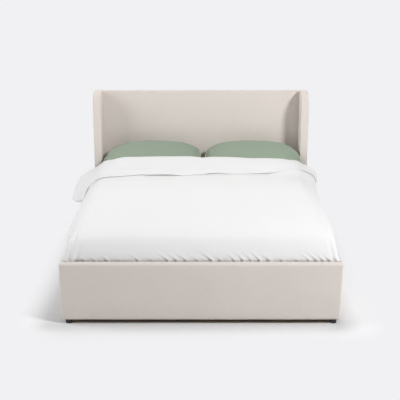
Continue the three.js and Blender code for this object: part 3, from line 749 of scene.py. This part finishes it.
# the raised band falls away to its sides, a little to the right too, and dips between the pillows
LEFT_FALL, RIGHT_FALL, FALL_START = 0.42, 0.52, 0.58
RIGHT_SINK, SINK_REACH = 0.13, 0.45
NOTCH_DEPTH, NOTCH_X, NOTCH_HALF, NOTCH_RAMP = 0.01, 0.015, 0.06, 0.06
# the quilt's crown, and how far its ends swing to the wings over the last stretch
CROWN_RISE, CROWN_HALF = 0.006, 0.9
END_RUN = 0.42
END_SHIFT = WING_FRONT - 0.03 - CENTRE_PLACES[-2][0]


def duvet_row(xs, run, band, y0):
    """One row of the outer surface from the left tuck to the right tuck."""
    y = np.interp(run, RUN, CENTRE[:, 0])
    z = np.interp(run, RUN, CENTRE[:, 1])
    left, right = [
        side_section(*mix(band, [*table_at(y0, main), 0, 0], table_at(y0, turned)), band * thin)
        for main, turned, thin in BORDERS
    ]
    middle = xs[len(SIDE_SHARES) - 1:len(SIDE_SHARES) + TOP_STEPS]
    x = np.concatenate([-left[:0:-1, 0], middle, right[1:, 0]])
    base = np.concatenate([left[:0:-1, 1], np.full(len(middle), DUVET_TOP), right[1:, 1]])
    kept = 1 - smooth((np.abs(x) - FALL_START) / np.where(x < 0, LEFT_FALL, RIGHT_FALL))
    kept *= 1 - RIGHT_SINK * smooth(x / SINK_REACH)
    raised = np.maximum(0, z - DUVET_TOP)
    notch = NOTCH_DEPTH * bell((x - NOTCH_X) / NOTCH_HALF) * np.clip(raised / NOTCH_RAMP, 0, 1)
    level = np.minimum(z, DUVET_TOP)
    over_rail = np.clip((level - RAIL_TOP) / (DUVET_TOP - RAIL_TOP), 0, 1)
    height = RAIL_TOP + np.maximum(0, base - RAIL_TOP) * over_rail + np.minimum(0, base - RAIL_TOP)
    height = np.where(level < RAIL_TOP, np.minimum(level, height), height)
    height += CROWN_RISE * (1 - np.clip(np.abs(x) / CROWN_HALF, 0, 1) ** 2) * over_rail
    swing = np.clip((run - RUN[-1] + END_RUN) / END_RUN, 0, 1) ** 1.5
    return np.column_stack([
        x, y + END_SHIFT * swing * (1 - kept) * band, height + raised * kept - notch,
    ])


# pleats that the tuck at the foot draws in: (place, run upwards, slant, depth, width)
PLEATS = [
    (-0.838, 0.03, 0.6, 0.005, 0.008), (-0.73, 0.026, 1.3, 0.006, 0.01),
    (-0.662, 0.034, 1.5, 0.009, 0.008), (-0.584, 0.04, 1.4, 0.01, 0.008),
    (-0.512, 0.022, 1.5, 0.004, 0.009), (-0.395, 0.052, 1.7, 0.008, 0.01),
    (-0.314, 0.03, 1.9, 0.004, 0.012), (-0.212, 0.062, 1.6, 0.009, 0.009),
    (-0.158, 0.058, 1.5, 0.008, 0.009), (-0.1, 0.066, 1.6, 0.008, 0.01),
    (-0.03, 0.048, 1.7, 0.005, 0.01), (0.058, 0.074, 1.5, 0.012, 0.01),
    (0.112, 0.04, 1.6, 0.006, 0.009), (0.196, 0.062, 1.2, 0.007, 0.008),
    (0.25, 0.066, 1.1, 0.009, 0.008), (0.3, 0.06, 1.1, 0.007, 0.007),
    (0.352, 0.072, 1.1, 0.01, 0.008), (0.408, 0.052, 1.4, 0.009, 0.013),
    (0.487, 0.024, 1.6, 0.005, 0.012), (0.58, 0.02, 1.8, 0.004, 0.012),
    (0.655, 0.06, 1.3, 0.006, 0.008), (0.702, 0.072, 1.3, 0.008, 0.009),
    (0.742, 0.064, 1.2, 0.008, 0.008), (0.782, 0.056, 1.1, 0.009, 0.008),
    (0.826, 0.044, 0.9, 0.008, 0.008),
]
# where the pleats start, how deep they are drawn, and the ridge beside each: its place in pleat
# widths, its spread and its height
TUCK_RUN = 0.056
PLEAT_SHARE = 0.55
RIDGE_PLACE, RIDGE_SPREAD, RIDGE_SHARE = 1.8, 1.8, 0.75


def pleated(points, runs):
    """How far the pleats draw the surface in. Each is a short crease under a longer soft ridge."""
    up = np.maximum(runs - TUCK_RUN, 0)
    total = np.zeros_like(up)
    for place, length, slant, depth, width in PLEATS:
        left = np.clip(1 - up / length, 0, 1)
        offset = (points[..., 0] - place + slant * up) / (width * (0.8 + 1.2 * up / length))
        crease = bell(offset) * left**2.4
        ridge = np.exp(-((offset - RIDGE_PLACE) ** 2) / RIDGE_SPREAD) * left**1.2
        total += PLEAT_SHARE * depth * (crease - RIDGE_SHARE * ridge)
    return total


# hollows, and ridges below 0, where the quilt turns the foot's corners and down its sides: (place
# at the top, along x at the corners and along y at the sides, slant, depth, width)
CORNER_FOLDS = [
    (-0.789, 0.34, -0.007, 0.009), (-0.768, 0.32, 0.006, 0.009), (-0.745, 0.3, -0.006, 0.01),
    (-0.722, 0.28, 0.004, 0.011), (0.8, -0.26, -0.004, 0.01), (0.776, -0.24, 0.003, 0.01),
]
LEFT_FOLDS = [
    (-0.93, 0.25, 0.01, 0.02), (-0.86, 0.2, 0.008, 0.018), (-0.66, 0.1, 0.004, 0.03),
    (-0.4, -0.2, 0.003, 0.04), (-0.12, 0.2, 0.004, 0.034), (0.16, 0.1, 0.003, 0.04),
]
RIGHT_FOLDS = [
    (-0.92, 0.2, 0.009, 0.02), (-0.78, 0.2, 0.004, 0.024), (-0.5, -0.1, 0.004, 0.036),
    (-0.2, 0.2, 0.003, 0.04), (0.1, -0.2, 0.004, 0.034), (0.34, 0.1, 0.003, 0.03),
]
CORNER_REACH = 0.2
SIDE_X = 0.72


def folded(points):
    """How far the folds draw the surface in."""
    x, y, z = np.moveaxis(points, -1, 0)
    down = np.maximum(DUVET_TOP - z, 0)
    at_foot = smooth((down - 0.008) / 0.05) * smooth((DUVET_FOOT + CORNER_REACH - y) / 0.08)
    at_side = smooth((down - 0.012) / 0.07)
    total = np.zeros_like(x)
    for folds, across, reached in (
        (LEFT_FOLDS, y, at_side * (x < -SIDE_X)), (RIGHT_FOLDS, y, at_side * (x > SIDE_X)),
        (CORNER_FOLDS, x, at_foot),
    ):
        for place, slant, depth, width in folds:
            total += depth * reached * bell((across - place + slant * down) / width)
    return total


def mattress_gap(points):
    """How far a place lies from the mattress, whose edges are round."""
    low, high = np.array(MATTRESS)
    half = (high - low) / 2 - MATTRESS_EDGE
    past = np.maximum(np.abs(points - (low + high) / 2) - half, 0)
    return np.linalg.norm(past, axis=-1) - MATTRESS_EDGE


FOOT_SHARE = 0.35
MATTRESS_GAP = 0.002


def duvet_depth(points):
    """The filling's thickness: full on the mattress, thin where the quilt is tucked in."""
    over_rail = smooth((points[..., 2] - RAIL_TOP - 0.006) / 0.05)
    from_foot = smooth((points[..., 1] - DUVET_FOOT - 0.004) / 0.05)
    share = np.minimum(over_rail, np.maximum(from_foot, FOOT_SHARE))
    room = np.maximum(mattress_gap(points) - MATTRESS_GAP, TUCKED_DEPTH * 0.6)
    return np.minimum(TUCKED_DEPTH + (QUILT_DEPTH - TUCKED_DEPTH) * share, room)


NORMAL_STEP = 0.0012
# the quilt's unevenness: (height, length, seed)
QUILT_WAVES = [(0.0016, 0.45, 3), (0.0006, 0.17, 4)]


def duvet():
    side = FLAT_HALF + SIDE_LENGTH * SIDE_SHARES[1:]
    across = np.concatenate([-side[::-1], np.linspace(-FLAT_HALF, FLAT_HALF, TOP_STEPS + 1), side])
    xs = np.clip(across, -FLAT_HALF, FLAT_HALF)
    runs, rise, turned = duvet_rows(across)
    middles = np.interp(runs[:, len(xs) // 2], RUN, CENTRE[:, 0])
    before, points, after = [
        np.array([
            duvet_row(xs, np.clip(run + step, 0, RUN[-1]), share, y)
            for run, share, y in zip(runs, turned, middles)
        ])
        for step in (-NORMAL_STEP, 0.0, NORMAL_STEP)
    ]
    normals = unit(np.cross(np.gradient(points, axis=1), after - before))
    uneven = sum(ripple(points.reshape(-1, 3), *waves) for waves in QUILT_WAVES)
    above = np.clip((points[..., 2] - RAIL_TOP) / 0.05, 0, 1)
    push = rise * BAND_RISE + uneven.reshape(runs.shape) * above
    push -= pleated(points, runs) + folded(points)
    outer = points + normals * push[..., None]
    inner = points - normals * duvet_depth(points)[..., None]
    quilt = shell_piece("duvet_quilt", outer, inner, "white_cotton", "platform", ["duvet"])


# the pillows: each leans back on the headboard, fullest near its upper edge, its corners slack

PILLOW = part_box("pillow_right")
PILLOW_MIDDLE = (PILLOW[1].x + PILLOW[0].x) / 2
PILLOW_SHRINK = 0.007

# the pillow from its low edge to its upper one: (share, y, height on the mattress, half thickness)
PILLOW_SIDE = [(share, y, MATTRESS_TOP + up, half) for share, y, up, half in (
    (-1, 0.556, 0.024, 0), (-0.9, 0.576, 0.03, 0.018), (-0.6, 0.64, 0.05, 0.036),
    (-0.2, 0.724, 0.09, 0.056), (0.2, 0.808, 0.137, 0.072), (0.55, 0.88, 0.175, 0.074),
    (0.8, 0.932, 0.198, 0.056), (0.93, 0.96, 0.207, 0.03), (1, 0.974, 0.209, 0),
)]
# how far the pillow's ends lie from its middle, at the wing and at its neighbour, and their droop
PILLOW_ENDS = {
    -1: (
        [(-1, 0.372), (-0.8, 0.396), (-0.4, 0.404), (0, 0.404), (0.2, 0.398), (0.5, 0.384),
         (0.8, 0.364), (1, 0.353)],
        [(-1, 0.374), (-0.6, 0.392), (0, 0.396), (0.5, 0.396), (0.9, 0.392), (1, 0.384)],
        0.05, 0.032,
    ),
    1: (
        [(-1, 0.374), (-0.8, 0.394), (-0.4, 0.408), (0, 0.42), (0.2, 0.416), (0.5, 0.396),
         (0.8, 0.364), (1, 0.35)],
        [(-1, 0.35), (-0.6, 0.366), (0, 0.37), (0.5, 0.366), (0.9, 0.352), (1, 0.338)],
        0.018, 0.038,
    ),
}
# creases in each pillow's face: (start, end, depth, width), metres from the pillow's middle
PILLOW_CREASES = {
    -1: [
        ((0.396, 0.03), (0.31, 0.08), 0.011, 0.009), ((0.398, 0.056), (0.332, 0.112), -0.006, 0.01),
        ((0.39, 0.002), (0.27, 0.034), 0.007, 0.01),
    ],
    1: [
        ((0.412, 0.01), (0.27, 0.066), 0.014, 0.009), ((0.41, 0.038), (0.3, 0.1), -0.008, 0.01),
        ((0.404, 0.064), (0.31, 0.134), 0.007, 0.009), ((0.38, -0.02), (0.23, 0.02), 0.008, 0.011),
        ((-0.34, 0.15), (-0.24, 0.1), 0.005, 0.012),
    ],
}
SEAM_RADIUS = 0.0038
SEAM_PROUD = 0.003

PILLOW_LOW, PILLOW_HIGH = np.array([PILLOW_SIDE[0][1:3], PILLOW_SIDE[-1][1:3]])
PILLOW_LEAN = math.atan2(*(PILLOW_HIGH - PILLOW_LOW)[::-1])
PILLOW_UP = np.array([0, math.cos(PILLOW_LEAN), math.sin(PILLOW_LEAN)])
PILLOW_FRONT = np.array([0, -math.sin(PILLOW_LEAN), math.cos(PILLOW_LEAN)])


def points_of(piece):
    return np.array([vertex.co for vertex in piece.data.vertices])


def crease_pillow(side, piece):
    """Draws the finished pillow's front face in along its creases."""
    centre = np.array([side * PILLOW_MIDDLE, *(PILLOW_LOW + PILLOW_HIGH) / 2])
    points = points_of(piece)
    normals = np.array([vertex.normal for vertex in piece.data.vertices])
    place = np.column_stack([side * (points - centre)[:, 0], (points - centre) @ PILLOW_UP])
    total = np.zeros(len(points))
    for start, end, depth, width in PILLOW_CREASES[side]:
        start, run = np.array(start), np.array(end) - np.array(start)
        length = np.linalg.norm(run)
        along = (place - start) @ run / length**2
        off = (place - start) @ np.array([-run[1], run[0]]) / length
        total += depth * bell(off / width) * smooth(along / 0.2) * smooth((1 - along) / 0.6)
    total *= smooth(normals @ PILLOW_FRONT / 0.4)
    piece.data.vertices.foreach_set("co", (points - normals * total[:, None]).ravel())
    piece.data.update()


def pillow_face(side, facing, u, v):
    """One face; u runs from the neighbour to the wing, v up the lean."""
    outer, inner, outer_droop, inner_droop = PILLOW_ENDS[side]
    y, z, thick = table_at(v, PILLOW_SIDE)
    end = np.where(u > 0, table_at(v, outer)[0], table_at(v, inner)[0])
    droop = np.where(u > 0, outer_droop, inner_droop)
    swell = np.clip(1 - np.abs(u) ** 2.4, 0, 1) ** 0.62
    off = facing * np.maximum(thick * swell - PILLOW_SHRINK * (thick > 0), 0)
    sunk = droop * np.abs(u) ** 3 * smooth((v + 0.9) / 1.6)
    height = np.maximum(z + off * PILLOW_FRONT[2] - sunk, MATTRESS_TOP + 0.005)
    return np.stack([side * (PILLOW_MIDDLE + u * end), y + off * PILLOW_FRONT[1], height], axis=-1)


PILLOW_LINES = 57


def pillow(name, side):
    ends = np.sin(np.linspace(-math.pi / 2, math.pi / 2, PILLOW_LINES))
    faces = [pillow_face(side, facing, *np.meshgrid(ends, ends)) for facing in (1, -1)]
    piece = shell_piece(
        f"{name}_pillow_case", *faces, "sage_cotton", "platform", [f"pillow_{name}"],
    )
    rim = pillow_rim(side)
    puff(piece, rim)
    crease_pillow(side, piece)
    pillow_seam(rim, piece, f"{name}_pillow_seam")


RIM_STEPS = 60


def pillow_rim(side):
    """Places round the seam where a pillow's faces meet."""
    step = np.linspace(-1, 1, RIM_STEPS)
    end = np.ones(RIM_STEPS)
    u = np.concatenate([step, end[2:], step[::-1], -end[2:]])
    v = np.concatenate([-end, step[1:-1], end, step[::-1][1:-1]])
    return pillow_face(side, 1, u, v)


def pillow_seam(rim, piece, name):
    """A fine piped seam round the case, laid on the finished mesh, in a lighter sage that is a
    painted highlight.
    """
    faces = [face.vertices[:] for face in piece.data.polygons]
    case = BVHTree.FromPolygons(points_of(piece).tolist(), faces)
    laid = []
    for place in rim:
        found, normal, *_ = case.find_nearest(Vector(place))
        laid.append(np.array(found + normal * SEAM_PROUD))
    laid = np.array(laid)
    for _ in range(3):
        laid = (np.roll(laid, 1, axis=0) + 2 * laid + np.roll(laid, -1, axis=0)) / 4
    piping = tube(laid, SEAM_RADIUS, PILLOW_FRONT, closed=True, sides=8)
    seam = mesh_piece(name, *piping, "sage_cotton", "platform")
    # the seam wears the lighter sage copy, a painted highlight
    seam.data.materials[0] = MATERIALS["sage_piping"]


PUFF_VOXEL = 0.006
PUFF_PRESSURE = 3.5
PUFF_FRAMES = 20
PUFF_CAP = 0.014
RIM_HOLD = 0.25
RIM_REACH = 0.045


def puff(piece, rim):
    """Blows a closed piece up with a short cloth simulation. No point moves past the cap, and the
    points near the rim move less."""
    remesh = piece.modifiers.new("remesh", "REMESH")
    remesh.mode = "VOXEL"
    remesh.voxel_size = PUFF_VOXEL
    apply_modifiers(piece)
    start = points_of(piece)
    cloth = piece.modifiers.new("cloth", "CLOTH")
    cloth.settings.use_pressure = True
    cloth.settings.uniform_pressure_force = PUFF_PRESSURE
    cloth.settings.effector_weights.gravity = 0
    cloth.point_cache.frame_end = PUFF_FRAMES
    for frame_number in range(1, PUFF_FRAMES + 1):
        bpy.context.scene.frame_set(frame_number)
    apply_modifiers(piece)
    bpy.context.scene.frame_set(1)
    moved = points_of(piece) - start
    far = np.linalg.norm(moved, axis=1, keepdims=True)
    tree = KDTree(len(rim))
    for number, place in enumerate(rim):
        tree.insert(Vector(place), number)
    tree.balance()
    from_rim = np.array([[tree.find(Vector(place))[2]] for place in start])
    caps = PUFF_CAP * (RIM_HOLD + (1 - RIM_HOLD) * smooth(from_rim / RIM_REACH))
    held = start + moved * np.minimum(1, caps / np.maximum(far, 1e-9))
    piece.data.vertices.foreach_set("co", held.ravel())
    finer = piece.modifiers.new("finer", "SUBSURF")
    finer.levels = finer.render_levels = 1
    apply_modifiers(piece)
    piece.data.shade_smooth()


duvet()
for name, side in SIDES.items():
    pillow(name, side)


# the mattress: quilted ticking with a taped edge round its top and its base

MATTRESS_CORNER = 0.07
TAPE_RADIUS = 0.0045
TAPE_DROP = 0.05
TAPE_INSET = 0.004


def mattress():
    low, high = MATTRESS
    points, faces = rounded_block(low, high, MATTRESS_EDGE, (MATTRESS_CORNER,) * 4, (60, 70, 8))
    points[:, 2] += ripple(points, 0.0007, 0.3, 9)
    points[:, 2] = np.clip(points[:, 2], low.z, high.z)
    block = mesh_piece("mattress_block", points, faces, "ticking", "platform", ["mattress"])
    for name, z in (("upper", high.z - TAPE_DROP), ("lower", low.z + TAPE_DROP)):
        loop = [(x, y, z) for x, y in tape_loop(low, high)]
        tape = tube(loop, TAPE_RADIUS, (0, 0, 1), closed=True)
        mesh_piece(f"mattress_{name}_tape", *tape, "backing", "platform")


def tape_loop(low, high):
    """Places round the mattress, just inside its outline."""
    left, right = low.x + MATTRESS_CORNER, high.x - MATTRESS_CORNER
    near, far = low.y + MATTRESS_CORNER, high.y - MATTRESS_CORNER
    reach = MATTRESS_CORNER - TAPE_INSET
    places = []
    for turn, (x, y) in enumerate(((right, far), (left, far), (left, near), (right, near))):
        for angle in np.linspace(0, math.pi / 2, 9):
            around = angle + turn * math.pi / 2
            places.append((x + reach * math.cos(around), y + reach * math.sin(around)))
    return places


mattress()


# the pull strap at the platform's foot: webbing doubled into a loop and sewn to the frame

WEBBING_HALF = 0.0007
STRAP_WAVE, STRAP_WAVE_TURN = 0.0002, 90
STITCH_INSET, STITCH_TOP, STITCH_RADIUS, STITCH_PROUD = 0.006, 0.032, 0.0004, 0.0001
STITCH_STEPS = 12


def lift_strap():
    low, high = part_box("lift_strap")
    front, back = low.y + WEBBING_HALF, high.y - WEBBING_HALF
    bend = (back - front) / 2
    ups = np.linspace(low.z, high.z - bend - WEBBING_HALF, 40)
    run = [(front, z) for z in ups]
    run += [
        ((front + back) / 2 - bend * math.cos(turn), ups[-1] + bend * math.sin(turn))
        for turn in np.linspace(0, math.pi, 9)[1:-1]
    ]
    run += [(back, z) for z in ups[::-1]]
    middle = np.array([[(x, y, z) for x in np.linspace(low.x, high.x, 15)] for y, z in run])
    middle[..., 0] += STRAP_WAVE * np.sin(middle[..., 2] * STRAP_WAVE_TURN)
    half = unit(np.cross(np.gradient(middle, axis=1), np.gradient(middle, axis=0))) * WEBBING_HALF
    shell_piece(
        "lift_strap_webbing", middle + half, middle - half, "webbing", "platform", ["lift_strap"],
    )
    left, right = low.x + STITCH_INSET, high.x - STITCH_INSET
    base, top = low.z + STITCH_INSET, low.z + STITCH_TOP
    front = low.y - STITCH_PROUD
    box = np.array([(x, front, z) for x, z in (
        (left, base), (right, base), (right, top), (left, top), (left, base), (right, top),
        (right, base), (left, top),
    )])
    lines = [np.linspace(a, b, STITCH_STEPS, endpoint=False) for a, b in zip(box, box[1:])]
    seam = tube(np.vstack([*lines, box[-1:]]), STITCH_RADIUS, (0, 1, 0), sides=6)
    mesh_piece("lift_strap_stitching", *seam, "backing", "platform")


lift_strap()


# every node of the frame that stays in view: its finish, with its edges slightly rounded

EDGE_ROUND = {
    "frame_timber": 0.0015, "floor_board": 0.0006, "backing": 0.0008, "black_steel": 0.0006,
    "strut_black": 0.0006, "strut_rod": 0.0003, "black_plastic": 0.0008, "slat_wood": 0.0022,
}
SMOOTH_ANGLE = math.radians(32)

for part in frame["record"]["subparts"]:
    slot = part["material_slot"]
    piece = frame["nodes"][part["node"]]
    paint(piece, slot)
    joined = piece.modifiers.new("joined", "WELD")
    joined.merge_threshold = 1e-5
    if slot in EDGE_ROUND:
        edge = piece.modifiers.new("edge", "BEVEL")
        edge.width = EDGE_ROUND[slot]
        edge.segments = 2
        edge.limit_method = "ANGLE"
        edge.angle_limit = SMOOTH_ANGLE
        edge.harden_normals = True


# the camera: a pinhole fitted to the photograph's outlines, 5 m in front of the foot panel

IMAGE_WIDTH = 400
FOCAL_PIXELS = 868
CAMERA_PITCH = math.radians(14.8)
CAMERA_PLACE = (-0.007, -6.1, 2.115)

data = bpy.data.cameras.new("camera")
data.sensor_width = 36.0
data.lens = data.sensor_width * FOCAL_PIXELS / IMAGE_WIDTH
camera = add_object("camera", data)
camera.location = CAMERA_PLACE
camera.rotation_euler = (math.pi / 2 - CAMERA_PITCH, 0, 0)
bpy.context.scene.camera = camera


# the stage: a pale floor that takes the bed's shadow, with painted shade close round the bed, and
# runs into an even background

BACKDROP = (0.879, 0.879, 0.896)
WORLD_STRENGTH = 0.14


def seen_directly(tree):
    """1 for rays from the camera and for those that mirror or pass through."""
    path = node(tree, "ShaderNodeLightPath").outputs
    seen = calc("ADD", path["Is Camera Ray"], path["Is Glossy Ray"], clamp=True)
    return calc("ADD", seen, path["Is Transmission Ray"], clamp=True)


def over_backdrop(share, lit, kind):
    """A shader that gives way to the even background at share 1."""
    tree = share.id_data
    even = node(tree, kind, {"Color": (*BACKDROP, 1)})
    return node(tree, "ShaderNodeMixShader", {0: share, 1: lit.outputs[0], 2: even.outputs[0]})


def world_shader(tree):
    light = node(tree, "ShaderNodeBackground", {"Color": (1, 1, 1, 1), "Strength": WORLD_STRENGTH})
    return over_backdrop(seen_directly(tree), light, "ShaderNodeBackground")


FLOOR_COLOR = (0.905, 0.905, 0.922)
# painted shade: the floor's colour darkens to this share close round and under the bed, set off to
# the left where the bed's shadow falls
PAINTED_CONTACT_SHADE = 0.76
PAINTED_SHADE_REACH = 0.2
PAINTED_SHADE_SHIFT = 0.04
LIT_FROM = 0.08
LIT_TO = 0.3


def outside(along, reach, shift):
    """How far a coordinate lies outside the bed's own span."""
    size = calc("ABSOLUTE", calc("ADD", along, shift))
    return calc("MAXIMUM", calc("SUBTRACT", size, reach), 0.0)


def from_bed(xyz, shift):
    """The distance on the floor from the bed's outline, moved sideways by a shift."""
    across = outside(xyz.outputs["X"], RAIL_OUTER, shift)
    along = outside(xyz.outputs["Y"], -FOOT_PANEL[0].y, 0.0)
    return calc("SQRT", weighed(across, across, along, along))


def soft_range(value, low, high):
    """A soft step from 0 at the low value to 1 at the high one."""
    return node(value.id_data, "ShaderNodeMapRange", {
        "Value": value, "From Min": low, "From Max": high,
    }, interpolation_type="SMOOTHSTEP").outputs[0]


def floor_shader(tree):
    """Painted shade darkens the floor's colour close round and under the bed, more on the left
    where its shadow falls; a lit part fades into the background.
    """
    xyz = node(tree, "ShaderNodeSeparateXYZ", {0: object_place(tree)})
    fade = soft_range(from_bed(xyz, 0.0), LIT_FROM, LIT_TO)
    # painted shade round the bed, shifted towards the side where the bed's shadow falls
    clear = soft_range(from_bed(xyz, PAINTED_SHADE_SHIFT), 0.0, PAINTED_SHADE_REACH)
    color = shaded(clear, FLOOR_COLOR, PAINTED_CONTACT_SHADE, 1.0)
    hidden = calc("MULTIPLY", fade, seen_directly(tree))
    lit = node(tree, "ShaderNodeBsdfDiffuse", {"Color": color})
    return over_backdrop(hidden, lit, "ShaderNodeEmission")


bpy.context.scene.world = shade(
    bpy.data.worlds.new("studio"), "ShaderNodeOutputWorld", world_shader,
)

FLOOR_REACH = 12.0

ways = ((-1, -1), (1, -1), (1, 1), (-1, 1))
floor = add_mesh("floor", [(x * FLOOR_REACH, y * FLOOR_REACH, 0) for x, y in ways], [(0, 1, 2, 3)])
floor.data.materials.append(material("floor", floor_shader))

# name, place, what it shines at, sides and power
LIGHTS = [
    ("key", (3.9, -3.4, 4.3), (0, 0.5, 0.6), (1.1, 1.1), 276),
    ("left_fill", (-4.6, -0.8, 3.0), (0, 0, 0.5), (3.0, 3.0), 143),
    ("behind", (0, 3.4, 4.2), (0, -0.6, 0.3), (4.0, 3.0), 98),
]

for name, place, target, sides, power in LIGHTS:
    data = bpy.data.lights.new(name, "AREA")
    data.shape = "RECTANGLE"
    data.size, data.size_y = sides
    data.energy = power
    lamp = add_object(name, data)
    lamp.location = place
    aim = Vector(target) - Vector(place)
    lamp.rotation_euler = aim.to_track_quat("-Z", "Y").to_euler()

bpy.context.scene.view_settings.view_transform = "Standard"
